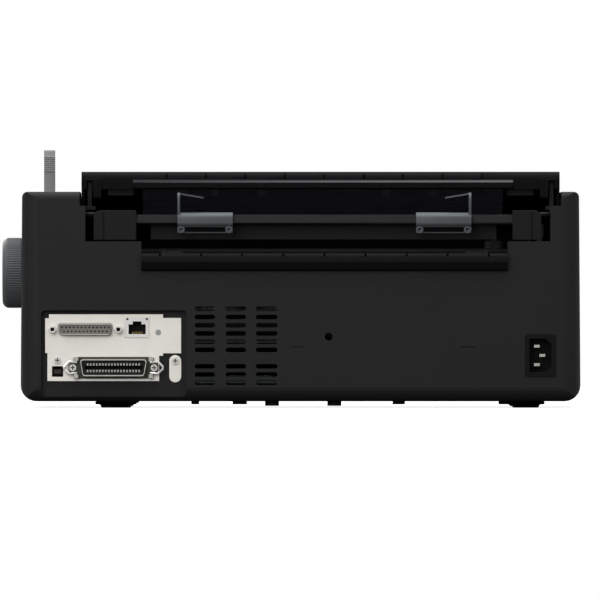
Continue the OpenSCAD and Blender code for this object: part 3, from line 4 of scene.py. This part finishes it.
import bpy
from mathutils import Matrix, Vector


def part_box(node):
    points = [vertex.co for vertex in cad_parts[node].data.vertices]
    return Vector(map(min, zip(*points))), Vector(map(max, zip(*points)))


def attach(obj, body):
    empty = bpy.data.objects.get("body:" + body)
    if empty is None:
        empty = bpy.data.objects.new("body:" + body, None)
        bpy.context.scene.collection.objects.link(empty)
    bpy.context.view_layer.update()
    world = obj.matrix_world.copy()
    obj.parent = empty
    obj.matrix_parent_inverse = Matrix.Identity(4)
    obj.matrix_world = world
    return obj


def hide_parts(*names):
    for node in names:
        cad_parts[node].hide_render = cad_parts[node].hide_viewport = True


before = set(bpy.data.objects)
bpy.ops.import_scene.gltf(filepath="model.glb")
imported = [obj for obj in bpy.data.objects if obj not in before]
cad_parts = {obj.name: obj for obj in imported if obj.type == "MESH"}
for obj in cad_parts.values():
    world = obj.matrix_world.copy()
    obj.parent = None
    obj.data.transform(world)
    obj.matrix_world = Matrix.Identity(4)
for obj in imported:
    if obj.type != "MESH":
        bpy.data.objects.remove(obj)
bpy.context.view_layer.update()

# ---- Camera and studio ----
# The printer stands on a white sweep under a large overhead softbox, and is photographed from far
# behind with a long lens, level with the middle of its rear face.
MM = 0.001
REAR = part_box("upper_housing")[1].y      # rear face of the case
camera_side = -6.9                       # millimetres beside the middle of the frame
camera_height = 76.9                     # millimetres above the floor
camera_away = 17                         # metres behind the rear face, so the view is nearly parallel
camera_data = bpy.data.cameras.new("long_lens")
camera_data.lens = 1431
camera_data.sensor_width = 36
camera_data.clip_start = 1
camera_data.clip_end = 100
camera = bpy.data.objects.new("camera", camera_data)
camera.location = (camera_side * MM, REAR + camera_away, camera_height * MM)
camera.rotation_euler = (math.radians(90), 0, math.radians(180))
bpy.context.collection.objects.link(camera)
bpy.context.scene.camera = camera
bpy.context.scene.view_settings.view_transform = "Standard"


def linear(hex_code):
    """Turns an sRGB hex colour into the linear colour of a shader socket."""
    channels = [int(hex_code[i:i + 2], 16) / 255 for i in (1, 3, 5)]
    return tuple(c / 12.92 if c <= 0.04045 else ((c + 0.055) / 1.055) ** 2.4 for c in channels) + (1,)


def put(tree, kind, settings=None, links=None, **properties):
    """Adds a shader node. settings are socket values by name, links the outputs that feed its sockets,
    and properties the node's own."""
    made = tree.nodes.new(kind)
    for key, value in properties.items():
        setattr(made, key, value)
    for key, value in (settings or {}).items():
        made.inputs[key].default_value = value
    for key, output in (links or {}).items():
        tree.links.new(output, made.inputs[key])
    return made


def softbox(name, place, target, width, height, watts, colour="#ffffff"):
    """A rectangular softbox that faces a target. Places and sizes are in metres."""
    data = bpy.data.lights.new(name, "AREA")
    data.shape = "RECTANGLE"
    data.size = width
    data.size_y = height
    data.energy = watts
    data.color = linear(colour)[:3]
    lamp = bpy.data.objects.new(name, data)
    lamp.location = place
    lamp.rotation_euler = (Vector(target) - Vector(place)).to_track_quat("-Z", "Y").to_euler()
    bpy.context.collection.objects.link(lamp)


printer_middle = (0, 0, 0.1)
softbox("overhead_softbox", (0, 0.4, 2.2), printer_middle, 2.4, 1.8, 50)
softbox("rear_softbox", (1.0, 2.4, 1.0), printer_middle, 1.6, 1.4, 22)
softbox("front_softbox", (1.2, -2.2, 1.3), printer_middle, 1.4, 1.2, 16)

# White surroundings for the camera, for gloss and through the window; a plain grey for the rest.
world = bpy.data.worlds.new("white_studio")
world.use_nodes = True
bpy.context.scene.world = world
sky = world.node_tree
sky.nodes.clear()
ray = put(sky, "ShaderNodeLightPath").outputs
seen = put(sky, "ShaderNodeMath", links={0: ray["Is Camera Ray"], 1: ray["Is Glossy Ray"]},
           operation="MAXIMUM")
seen = put(sky, "ShaderNodeMath", links={0: seen.outputs[0], 1: ray["Is Transmission Ray"]},
           operation="MAXIMUM")
dim = put(sky, "ShaderNodeBackground", {"Color": (1, 1, 1, 1), "Strength": 0.42})
white = put(sky, "ShaderNodeBackground", {"Color": (1, 1, 1, 1), "Strength": 1})
both = put(sky, "ShaderNodeMixShader", links={0: seen.outputs[0], 1: dim.outputs[0], 2: white.outputs[0]})
put(sky, "ShaderNodeOutputWorld", links={"Surface": both.outputs[0]})

# The sweep: matt white paper that glows enough to stay white to the camera, seen from above only.
sweep_radius = 9
sweep_drop = 0.0002                      # metres under the feet
bpy.ops.object.select_all(action="DESELECT")
bpy.ops.mesh.primitive_circle_add(
    vertices=64, radius=sweep_radius, fill_type="NGON", location=(0, 0, -sweep_drop))
sweep = bpy.context.object
sweep.name = "paper_sweep"
bpy.ops.object.transform_apply(location=True)
paper = bpy.data.materials.new("matt_white_paper")
paper.use_nodes = True
tree = paper.node_tree
tree.nodes.clear()
sheet_colour = put(tree, "ShaderNodeBsdfDiffuse", {"Color": linear("#b0b0b0")})
glow = put(tree, "ShaderNodeEmission", {"Color": (1, 1, 1, 1), "Strength": 0.84})
lit = put(tree, "ShaderNodeAddShader", links={0: sheet_colour.outputs[0], 1: glow.outputs[0]})
bounce = put(tree, "ShaderNodeBsdfDiffuse", {"Color": linear("#6e6e6e")})
camera_ray = put(tree, "ShaderNodeLightPath").outputs["Is Camera Ray"]
shown = put(tree, "ShaderNodeMixShader", links={0: camera_ray, 1: bounce.outputs[0], 2: lit.outputs[0]})
clear = put(tree, "ShaderNodeBsdfTransparent")
behind = put(tree, "ShaderNodeNewGeometry").outputs["Backfacing"]
one_way = put(tree, "ShaderNodeMixShader", links={0: behind, 1: shown.outputs[0], 2: clear.outputs[0]})
put(tree, "ShaderNodeOutputMaterial", links={"Surface": one_way.outputs[0]})
sweep.data.materials.append(paper)

# ---- Lower case and feet ----
# The lower case is a charcoal ABS tray that every other piece is screwed to. Its outside has the fine
# spark-eroded grain of the mould, which gives a soft, even sheen. Four matt rubber feet are pressed
# into its floor.


def principled(name, **sockets):
    """A material with one Principled shader. Returns it with its tree, shader and Object coordinates."""
    material = bpy.data.materials.new(name)
    material.use_nodes = True
    tree = material.node_tree
    tree.nodes.clear()
    shader = put(tree, "ShaderNodeBsdfPrincipled", sockets)
    put(tree, "ShaderNodeOutputMaterial", links={"Surface": shader.outputs[0]})
    return material, tree, shader, put(tree, "ShaderNodeTexCoord").outputs["Object"]


def moulded(name, colour, shade, roughness=0.5, specular=0.2, grain=0.5, depth=0.02, ior=1.5,
            worn=None, ease=0.4):
    """Injection-moulded plastic or rubber. colour and shade are its lighter and darker flow tones, grain the
    size and depth the height of the mould's spark-eroded texture in millimetres, worn the tone of rubbed
    spots and ease the radius of the moulded edges. The real grain is about 0.1 mm and is drawn coarse
    enough to show."""
    flow_scale = 14                      # flow marks drift over about 70 mm
    rub_scale = 55                       # rubbed spots are about 18 mm apart
    material, tree, shader, place = principled(
        name, **{"Roughness": roughness, "Specular IOR Level": specular, "IOR": ior})
    flow = put(tree, "ShaderNodeTexNoise", {"Scale": flow_scale, "Detail": 3, "Roughness": 0.5},
               {"Vector": place})
    tone = put(tree, "ShaderNodeMix", {"A": linear(shade), "B": linear(colour)},
               {"Factor": flow.outputs[0]}, data_type="RGBA").outputs["Result"]
    fine = put(tree, "ShaderNodeTexNoise", {"Scale": 1000 / grain, "Detail": 2, "Roughness": 0.6},
               {"Vector": place})
    if worn:
        spots = put(tree, "ShaderNodeTexNoise", {"Scale": rub_scale, "Detail": 5, "Roughness": 0.7},
                    {"Vector": place})
        rubbed = put(tree, "ShaderNodeMapRange", {"From Min": 0.62, "From Max": 0.74},
                     {"Value": spots.outputs[0]})
        tone = put(tree, "ShaderNodeMix", {"B": linear(worn)},
                   {"Factor": rubbed.outputs[0], "A": tone}, data_type="RGBA").outputs["Result"]
    tree.links.new(tone, shader.inputs["Base Color"])
    gloss = put(tree, "ShaderNodeMapRange", {"To Min": roughness - 0.05, "To Max": roughness + 0.07},
                {"Value": flow.outputs[0]})
    tree.links.new(gloss.outputs[0], shader.inputs["Roughness"])
    edge = put(tree, "ShaderNodeBevel", {"Radius": ease * MM}, samples=4)
    bump = put(tree, "ShaderNodeBump", {"Strength": 0.25, "Distance": depth * MM},
               {"Height": fine.outputs[0], "Normal": edge.outputs[0]})
    tree.links.new(bump.outputs[0], shader.inputs["Normal"])
    return material


def dress(material, *nodes):
    """Gives a material to CAD nodes."""
    for name in nodes:
        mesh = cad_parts[name].data
        mesh.materials.clear()
        mesh.materials.append(material)


def copied(node, body, material):
    """A copy of a CAD solid that takes its place on its body, with the split corners of its mesh welded."""
    weld = 0.002 * MM
    piece = bpy.data.objects.new(node + "_finished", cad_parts[node].data.copy())
    bpy.context.collection.objects.link(piece)
    bpy.ops.object.select_all(action="DESELECT")
    piece.select_set(True)
    bpy.context.view_layer.objects.active = piece
    bpy.ops.mesh.customdata_custom_splitnormals_clear()
    bpy.ops.object.mode_set(mode="EDIT")
    bpy.ops.mesh.select_all(action="SELECT")
    bpy.ops.mesh.remove_doubles(threshold=weld)
    bpy.ops.object.mode_set(mode="OBJECT")
    piece.data.materials.clear()
    piece.data.materials.append(material)
    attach(piece, body)
    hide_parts(node)
    return piece


def smooth_curves():
    """Shades the active piece smooth where its faces meet at a small angle."""
    bpy.ops.object.shade_smooth_by_angle(angle=math.radians(35))


def eased(node, body, material, radius, segments=3):
    """A copied solid whose sharp edges are rounded to a radius in millimetres, as a mould or a tumbler
    leaves them."""
    piece = copied(node, body, material)
    bpy.ops.object.mode_set(mode="EDIT")
    bpy.ops.mesh.select_all(action="SELECT")
    bpy.ops.mesh.dissolve_limited(angle_limit=math.radians(2))
    bpy.ops.object.mode_set(mode="OBJECT")
    bpy.ops.object.modifier_add(type="BEVEL")
    rounding = piece.modifiers[-1]
    rounding.width = radius * MM
    rounding.segments = segments
    rounding.limit_method = "ANGLE"
    rounding.angle_limit = math.radians(40)
    bpy.ops.object.modifier_apply(modifier=rounding.name)
    smooth_curves()


case_abs = moulded("moulded_charcoal_abs_fine_grain", "#202022", "#1b1b1d", 0.52, 0.16)
dress(case_abs, "bottom_case")
foot_rubber = moulded("moulded_black_rubber", "#141416", "#0d0d0f", 0.8, 0.3, 1.2, 0.03)
eased("rubber_feet", "case", foot_rubber, 1.2)

# ---- Steel frames, rods and rail ----
# The side frames stand in the lower case on turned-out feet and carry the rail and the shafts between
# them. Frames and rail are bent from galvanised sheet, which shows the faint patches of its zinc; the
# shafts and rods are ground and oiled bar, which shows the fine lines of the wheel.


def metal(name, colour, roughness, patch=9, contrast=0.06, lines=None, ease=0.2):
    """Bare metal. patch is the size of its tone patches in millimetres, contrast how far they change its
    roughness, lines a stretch of the patches along each axis and ease the radius of its edges."""
    darker = 0.82                        # tone of the darkest patches
    material, tree, shader, place = principled(
        name, **{"Base Color": linear(colour), "Metallic": 1, "Roughness": roughness})
    if lines:
        place = put(tree, "ShaderNodeMapping", {"Scale": lines}, {"Vector": place}).outputs[0]
    cloud = put(tree, "ShaderNodeTexNoise", {"Scale": 1000 / patch, "Detail": 4, "Roughness": 0.6},
                {"Vector": place})
    gloss = put(tree, "ShaderNodeMapRange", {"To Min": roughness - contrast, "To Max": roughness + contrast},
                {"Value": cloud.outputs[0]})
    tree.links.new(gloss.outputs[0], shader.inputs["Roughness"])
    dark = tuple(c * darker for c in linear(colour)[:3]) + (1,)
    tone = put(tree, "ShaderNodeMix", {"A": dark, "B": linear(colour)},
               {"Factor": cloud.outputs[0]}, data_type="RGBA")
    tree.links.new(tone.outputs["Result"], shader.inputs["Base Color"])
    edge = put(tree, "ShaderNodeBevel", {"Radius": ease * MM}, samples=4)
    bump = put(tree, "ShaderNodeBump", {"Strength": 0.12, "Distance": 0.02 * MM},
               {"Height": cloud.outputs[0], "Normal": edge.outputs[0]})
    tree.links.new(bump.outputs[0], shader.inputs["Normal"])
    return material


galvanised = metal("galvanised_sheet_steel", "#787b7c", 0.46, 7, 0.12)
ground_bar = metal("oiled_ground_steel_bar", "#7f8183", 0.28, 1.2, 0.08, lines=(8, 1, 1))
dress(galvanised, "side_frame_left", "side_frame_right", "carriage_rail")
dress(ground_bar, "guide_shaft", "tractor_rod", "platen_shaft", "tractor_shaft")

# ---- Circuit boards ----
# The main board is green glass-fibre laminate with solder mask; the supply board is brown paper laminate.
# Both stand on posts of the lower case. The main board carries black moulded chips, the supply board a
# transformer and a finned heat sink, and tracks show as paler lines under the semi-gloss of the mask.


def laminate(name, mask, track, parts, top, track_mm=1.3):
    """A circuit board: solder mask over tracks of a width in millimetres up to the height top, and darker
    parts above it. Real tracks are about 0.3 mm and are drawn coarse enough to show."""
    material, tree, shader, place = principled(
        name, **{"Roughness": 0.35, "Specular IOR Level": 0.5, "IOR": 1.55})
    bricks = put(tree, "ShaderNodeTexBrick", {
        "Color1": linear(mask), "Color2": linear(mask), "Mortar": linear(track),
        "Scale": 1, "Brick Width": track_mm * 9 * MM, "Row Height": track_mm * 1.6 * MM,
        "Mortar Size": 0.16 * MM,
    }, {"Vector": place}, offset=0.37)
    height = put(tree, "ShaderNodeSeparateXYZ", links={0: place}).outputs["Z"]
    above = put(tree, "ShaderNodeMath", {1: top * MM}, {0: height}, operation="GREATER_THAN").outputs[0]
    grime = put(tree, "ShaderNodeTexNoise", {"Scale": 90, "Detail": 3}, {"Vector": place}).outputs[0]
    body = put(tree, "ShaderNodeMix", {"A": linear(parts), "B": linear("#3a3c40")},
               {"Factor": grime}, data_type="RGBA").outputs["Result"]
    tone = put(tree, "ShaderNodeMix", links={"Factor": above, "A": bricks.outputs["Color"], "B": body},
               data_type="RGBA")
    tree.links.new(tone.outputs["Result"], shader.inputs["Base Color"])
    bump = put(tree, "ShaderNodeBump", {"Strength": 0.3, "Distance": 0.05 * MM},
               {"Height": bricks.outputs["Fac"]})
    tree.links.new(bump.outputs[0], shader.inputs["Normal"])
    return material


board_top = 19.3                         # millimetres above the floor, just over the boards' upper faces
green_mask = laminate("green_solder_mask_laminate", "#143a26", "#2c6441", "#141518", board_top)
brown_paper = laminate("brown_paper_laminate", "#6a4d28", "#8f7346", "#4a4d50", board_top, 2.4)
dress(green_mask, "main_board")
dress(brown_paper, "power_supply_board")

# ---- Motors, belt and pulleys ----
# Two stepping motors drive the paper and the carriage. Their steel cans are passivated a satin black; the
# pulleys and the pinion are turned brass, warm and bright; the belt is neoprene, dull with a fine ribbing.
black_can = metal("black_passivated_motor_can", "#4a4c4f", 0.38, 3, 0.08)
dress(black_can, "feed_motor", "carriage_motor")
brass = metal("turned_brass", "#b08d57", 0.3, 2, 0.08)
dress(brass, "drive_pulley", "tension_pulley", "motor_pinion")
neoprene = moulded("ribbed_neoprene_belt", "#151517", "#0e0e10", 0.75, 0.25, 2.0, 0.3)
dress(neoprene, "carriage_belt")

# ---- Platen, its knob and the feed gears ----
# The platen is ground black rubber, nearly matt, on a steel shaft. The gears are natural acetal, milky and
# slightly waxy. The knob is pressed on the shaft and the release lever turns on a peg of the housing; both
# are moulded acetal in two greys with a soft sheen, and hands have rubbed the knob lighter in places.
platen_rubber = moulded("ground_platen_rubber", "#1b1b1d", "#141416", 0.62, 0.35, 0.35, 0.02)
dress(platen_rubber, "platen_roller", "feed_roller")
acetal = moulded("natural_acetal", "#ddd8ca", "#cfc9b8", 0.4, 0.45, 0.9, 0.01, 1.48)
dress(acetal, "platen_gear", "idler_gear_front", "idler_gear_rear")
knob_grey = moulded("moulded_grey_acetal_knob", "#595b5e", "#515356", 0.45, 0.25, 0.6, 0.02, worn="#616366")
dress(knob_grey, "platen_knob", "ribbon_knob", "thickness_lever")
lever_grey = moulded("moulded_light_grey_acetal_lever", "#98989a", "#8c8c8e", 0.42, 0.3, 0.6, 0.02)
eased("release_lever", "release", lever_grey, 0.15, 2)

# ---- Tractors ----
# Two tractors slide on their rod and shaft and pull the punched edges of the paper along. They are moulded
# in satin black acetal, and each has a hinged flap of dark grey ABS, a little lighter and just as satin.
tractor_acetal = moulded("black_acetal_tractor", "#1a1a1d", "#141417", 0.45, 0.2)
dress(tractor_acetal, "tractor_left", "tractor_right")
flap_abs = moulded("moulded_dark_grey_abs_flap", "#34353a", "#2b2c30", 0.48, 0.25)
dress(flap_abs, "tractor_flap_left", "tractor_flap_right")

# ---- Carriage, print head and ribbon ----
# The carriage is dull black glass-filled nylon, and the print head on it a finned block of die-cast zinc,
# grey with slight patches. The ribbon cartridge that lies across the frames is glossy black polystyrene,
# and its ribbon a band of inked nylon fabric, in which the two directions of thread just show.
carriage_nylon = moulded("glass_filled_nylon_carriage", "#202023", "#17171a", 0.55, 0.25, 0.8, 0.03)
dress(carriage_nylon, "carriage")
head_zinc = metal("die_cast_zinc_head", "#8b8e90", 0.48, 1.6, 0.08)
dress(head_zinc, "print_head")
cartridge = moulded("black_polystyrene_cartridge", "#19191b", "#131315", 0.3, 0.4, 0.5, 0.01)
dress(cartridge, "ribbon_cartridge")
thread = 0.4                             # spacing of the threads, drawn coarse enough to show
inked, tree, shader, place = principled(
    "inked_nylon_ribbon", **{"Roughness": 0.65, "Specular IOR Level": 0.4})
weave = put(tree, "ShaderNodeTexChecker",
            {"Scale": 1000 / thread, "Color1": linear("#08080a"), "Color2": linear("#15151a")},
            {"Vector": place})
tree.links.new(weave.outputs["Color"], shader.inputs["Base Color"])
bump = put(tree, "ShaderNodeBump", {"Strength": 0.4, "Distance": 0.05 * MM}, {"Height": weave.outputs["Fac"]})
tree.links.new(bump.outputs[0], shader.inputs["Normal"])
dress(inked, "ink_ribbon")

# ---- Upper housing and paper entry lip ----
# One large moulding in the same charcoal ABS, with the louvres, the socket recess and the bay of the
# rear paper path. The ribbed lip below the bay is a moulding of its own, set in the paper entry, whose
# ABS is blacker and duller than the case.
dress(case_abs, "upper_housing")
lip_abs = moulded("moulded_black_abs_entry_lip", "#0d0d0f", "#0a0a0b", 0.55, 0.06)
dress(lip_abs, "paper_entry_lip")

# ---- Sockets on their metal plate ----
# A tinned steel plate, pale and softly bright, closes the recess, and a small blank plate of the same
# sheet is screwed beside it. The sockets stand behind or on the plate: insulators moulded in black or
# grey-beige, with the even look of fine grain, in shells plated with bright nickel or paler tin.
tinned = metal("tinned_steel_plate", "#e3e0d9", 0.5, 14, 0.06)
dress(tinned, "interface_plate", "blank_plate")
shell_nickel = metal("nickel_plated_socket_shell", "#b3b1ab", 0.34, 3, 0.08)
# This black moulding also paints the holes of the 25-way insert and the crosses and bores of the screws, as
# painted shade.
socket_black_and_painted_shade = moulded("moulded_black_pbt_socket_and_painted_shade", "#121110", "#0b0b0b", 0.5, 0.2)
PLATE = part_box("interface_plate")[1].y   # outer face of the metal plate


def middle(node):
    """The middle of a CAD node's box."""
    low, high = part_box(node)
    return (Vector(low) + Vector(high)) / 2


def paint(piece, material, inside):
    """Gives a second material to the faces of a copied solid whose middle and normal pass a test."""
    piece.data.materials.append(material)
    for face in piece.data.polygons:
        if inside(face.center, face.normal):
            face.material_index = len(piece.data.materials) - 1


def within(at, centre, width, height):
    """Whether a point lies in a rectangle of a given size in millimetres, seen from the rear."""
    return abs(at.x - centre.x) < width / 2 * MM and abs(at.z - centre.z) < height / 2 * MM


def out_from_plate(at):
    """How far a point stands out from the metal plate, in millimetres."""
    return (at.y - PLATE) / MM


def contact_rows(name, material, places, size, out):
    """Small flat contacts of one size, centred on (x, z) places and a distance out from the plate. Sizes
    and distances are in millimetres."""
    place_y = PLATE + out * MM
    scale = [side * MM for side in size]
    edge_round = 0.12
    first_x, first_z = places[0]
    bpy.ops.object.select_all(action="DESELECT")
    bpy.ops.mesh.primitive_cube_add(size=1, location=(first_x, place_y, first_z), scale=scale)
    piece = bpy.context.object
    piece.name = name
    bpy.ops.object.transform_apply()
    bpy.ops.object.mode_set(mode="EDIT")
    for x, z in places[1:]:
        bpy.ops.mesh.primitive_cube_add(size=1, location=(x, place_y, z), scale=scale)
    bpy.ops.mesh.select_all(action="SELECT")
    bpy.ops.mesh.bevel(offset=edge_round * MM, segments=2, affect="EDGES")
    bpy.ops.object.mode_set(mode="OBJECT")
    piece.data.materials.append(material)
    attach(piece, "case")


# 25-way socket: its flange is behind the plate, and only the nickel-plated shell with its moulded insert
# stands out.
insert_w, insert_h = 37.2, 6.8
insert_face = 4.4                        # the holes are deeper than this, the insert's face is not
hole_depth = 2                           # behind the plate
insert_beige = moulded("moulded_grey_beige_insert", "#83817b", "#787670", 0.5, 0.2)
serial = copied("serial_socket", "case", shell_nickel)
mid = middle("serial_socket")
paint(serial, insert_beige, lambda at, facing:
      within(at, mid, insert_w, insert_h) and out_from_plate(at) > insert_face)
# The holes of the insert are painted black: painted shade in their depth.
paint(serial, socket_black_and_painted_shade, lambda at, facing:
      within(at, mid, insert_w, insert_h) and -hole_depth < out_from_plate(at) < insert_face)

# Network socket: a bright shell round a black cavity, with eight gold-plated contacts on its lower side
# that glint yellow.
cavity_w, cavity_h = 16, 13.2
shell_face = 0.7
contact_pitch = 1.02
contact_size = (0.46, 3.4, 1.8)
contact_depth, contact_rise = 3, 3.3     # behind the plate, and above the bottom of the shell
tinned_shell = metal("tin_plated_network_shell", "#d9d8d4", 0.38, 3, 0.08)
gold = metal("gold_plated_contact", "#a08a4c", 0.35, 1, 0.06)
network = copied("network_socket", "case", tinned_shell)
mid_net = middle("network_socket")
contact_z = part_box("network_socket")[0].z + contact_rise * MM
paint(network, socket_black_and_painted_shade, lambda at, facing:
      within(at, mid_net, cavity_w, cavity_h) and out_from_plate(at) < shell_face)
contact_places = [(mid_net.x + (i - 3.5) * contact_pitch * MM, contact_z) for i in range(8)]
contact_rows("network_contacts", gold, contact_places, contact_size, -contact_depth)

# 36-way socket: an olive passivated flange, a bright rim and a black insert with two rows of contacts.
flange_t = 1.25
slot_w, slot_h = 46.6, 10.7              # inside of the rim
slot_face = 6.2                          # the insert ends below this
leaf_pitch, leaf_row = 2.16, 2.3         # along a row, and of each row from the middle
leaf_size = (1.15, 0.5, 1.7)
leaf_out = 6.05
olive = metal("olive_passivated_flange", "#46473f", 0.5, 4, 0.08)
parallel = copied("parallel_socket", "case", olive)
mid_par = middle("parallel_socket")
paint(parallel, shell_nickel, lambda at, facing: out_from_plate(at) > flange_t)
paint(parallel, socket_black_and_painted_shade, lambda at, facing:
      within(at, mid_par, slot_w, slot_h) and out_from_plate(at) < slot_face)
leaf_places = [
    (mid_par.x + (i - 8.5) * leaf_pitch * MM, mid_par.z + row * leaf_row * MM)
    for i in range(18) for row in (-1, 1)
]
contact_rows("parallel_contacts", shell_nickel, leaf_places, leaf_size, leaf_out)

# USB socket: a brown-black moulding whose shell is hidden behind the plate.
usb_black = moulded("moulded_brown_black_socket", "#3b3733", "#302d2a", 0.5, 0.2)
dress(usb_black, "usb_socket")

# ---- Screws and bails ----
# Cross-head screws and threaded jack posts hold the sockets and the blank plate. Their zinc plate is pale
# and bright, and their crosses and bores are painted black as painted shade. The bails that lock a plug are
# bent from round spring wire with the same plate.
screw_zinc = metal("bright_zinc_plated_screw", "#d5d4d0", 0.3, 1.5, 0.08)
screws = copied("connector_screws", "case", screw_zinc)
blank_face = out_from_plate(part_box("blank_plate")[1])
seats = (0, 1.2, blank_face)             # faces the screw heads sit on, out from the plate
cross_floor = 0.6                        # bottom of a cross, above its seat
jack_half_gap, bore_r = 23.52, 1.5       # jack posts from the middle of the 25-way socket, and their bores
bore_bottom = -0.5
# The floors of the crosses and the bores of the jack posts are painted black: painted shade.
paint(screws, socket_black_and_painted_shade, lambda at, facing:
      facing.y > 0.9 and any(abs(out_from_plate(at) - seat - cross_floor) < 0.1 for seat in seats))
paint(screws, socket_black_and_painted_shade, lambda at, facing: out_from_plate(at) > bore_bottom and math.hypot(
    abs(at.x - mid.x) - jack_half_gap * MM, at.z - mid.z) < bore_r * MM)
smooth_curves()
for side in ("left", "right"):
    eased("bail_" + side, "wire_" + side, screw_zinc, 0.5)

# ---- Mains inlet ----
# A thermoset inlet for a detachable lead, set in an opening of the rear wall, smooth and deep black. Its
# three flat pins are nickel-plated brass, which shines from inside.
thermoset = moulded("black_thermoset_inlet", "#060607", "#040405", 0.45, 0.12)
dress(thermoset, "mains_inlet")
pin_nickel = metal("nickel_plated_brass_pin", "#c9c6bd", 0.25, 2, 0.06)
dress(pin_nickel, "inlet_pins")

# ---- Control panel, buttons and power rocker ----
# A dark grey ABS panel with a satin face is set in the slope of the housing. Its four buttons are lighter
# grey mouldings with rounded edges, and the power rocker in the front face is glossier and black.
panel_abs = moulded("moulded_dark_grey_panel", "#2a2a2d", "#232326", 0.45, 0.25)
dress(panel_abs, "control_panel")
button_abs = moulded("moulded_grey_button", "#55575a", "#4b4d50", 0.45, 0.3)
for name in ("pause", "tear", "feed", "load"):
    eased(name + "_button", "button_" + name, button_abs, 0.8)
rocker_black = moulded("moulded_black_rocker", "#0f0f11", "#0b0b0d", 0.35, 0.35)
eased("power_rocker", "rocker", rocker_black, 0.6)

# ---- Indicator lights ----
# The four lights of the panel have glossy green diffusing lenses; the one beside the sockets is a clear
# light guide, pale grey where no light comes through. All are pressed into round holes.
green_lens = moulded("green_diffusing_lens", "#2f8a44", "#287a3b", 0.25, 0.5, 0.8, 0.01)
clear_guide = moulded("clear_light_guide", "#a9aca8", "#979a97", 0.2, 0.5, 0.8, 0.01)
lights = copied("indicator_lights", "case", green_lens)
paint(lights, clear_guide, lambda at, facing: at.y > 0)         # the rear half of the printer
smooth_curves()

# ---- Top cover, its window and the front cover ----
# The cover turns on two pins and is moulded in a bluer, duller black than the case; the bevel along its
# rear band is moulded glossier, and is painted lighter where it faces up and back as a painted highlight. The
# window is smoked acrylic, glossy and dark, laid on a rim of the cover, and the front cover is moulded in the
# ABS of the case.
bevel_depth = 2.6                        # of the bevel from the rear face of the cover
cover_abs = moulded("moulded_blue_black_abs", "#0b0b0e", "#08080b", 0.55, 0.07, ease=0.9)
glossy_edge_painted_highlight = moulded("glossy_blue_black_abs_edge_painted_highlight", "#2b2b2e", "#252528", 0.35, 0.25)
cover = copied("top_cover", "cover", cover_abs)
edge_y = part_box("top_cover")[1].y - bevel_depth * MM
# Faces of the rear bevel that face up and back get a lighter colour: a painted highlight.
paint(cover, glossy_edge_painted_highlight, lambda at, facing: at.y > edge_y and facing.y > 0.5 and facing.z > 0.5)
dress(case_abs, "front_cover")
smoked, tree, shader, place = principled("smoked_acrylic", **{
    "Base Color": linear("#1a1a1e"), "Roughness": 0.06, "IOR": 1.49, "Specular IOR Level": 0.2,
    "Transmission Weight": 0.9})
haze = put(tree, "ShaderNodeTexNoise", {"Scale": 60, "Detail": 3}, {"Vector": place})
gloss = put(tree, "ShaderNodeMapRange", {"To Min": 0.04, "To Max": 0.12}, {"Value": haze.outputs[0]})
tree.links.new(gloss.outputs[0], shader.inputs["Roughness"])
dress(smoked, "cover_window")

# ---- Paper guide and edge guides ----
# The hinged guide is black ABS with a soft sheen, and its flat rail is glossier and painted lighter as a
# painted sheen. The two edge guides are clips of greenish grey acetal with rounded, satin edges.
rail_low, rail_high = 9.3, 3             # of the rail below the top of the guide
rail_behind, rail_face = 14.6, 9         # of the rail in front of the rear face of the case
guide_abs = moulded("moulded_black_abs_guide", "#121214", "#0e0e10", 0.48, 0.15, ease=0.9)
rail_abs_painted_sheen = moulded("glossy_black_abs_rail_painted_sheen", "#242425", "#1e1e20", 0.4, 0.22)
guide = copied("paper_guide", "guide", guide_abs)
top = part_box("paper_guide")[1].z
# The rail is painted a lighter black: a painted sheen where its flat face meets the lamps.
paint(guide, rail_abs_painted_sheen, lambda at, facing:
      top - rail_low * MM < at.z < top - rail_high * MM
      and REAR - rail_behind * MM < at.y < REAR - rail_face * MM)
guide_grey = moulded("moulded_green_grey_acetal_guide", "#53575a", "#4a4e51", 0.42, 0.3)
for side in ("left", "right"):
    eased("edge_guide_" + side, "edge_" + side, guide_grey, 0.3, 2)
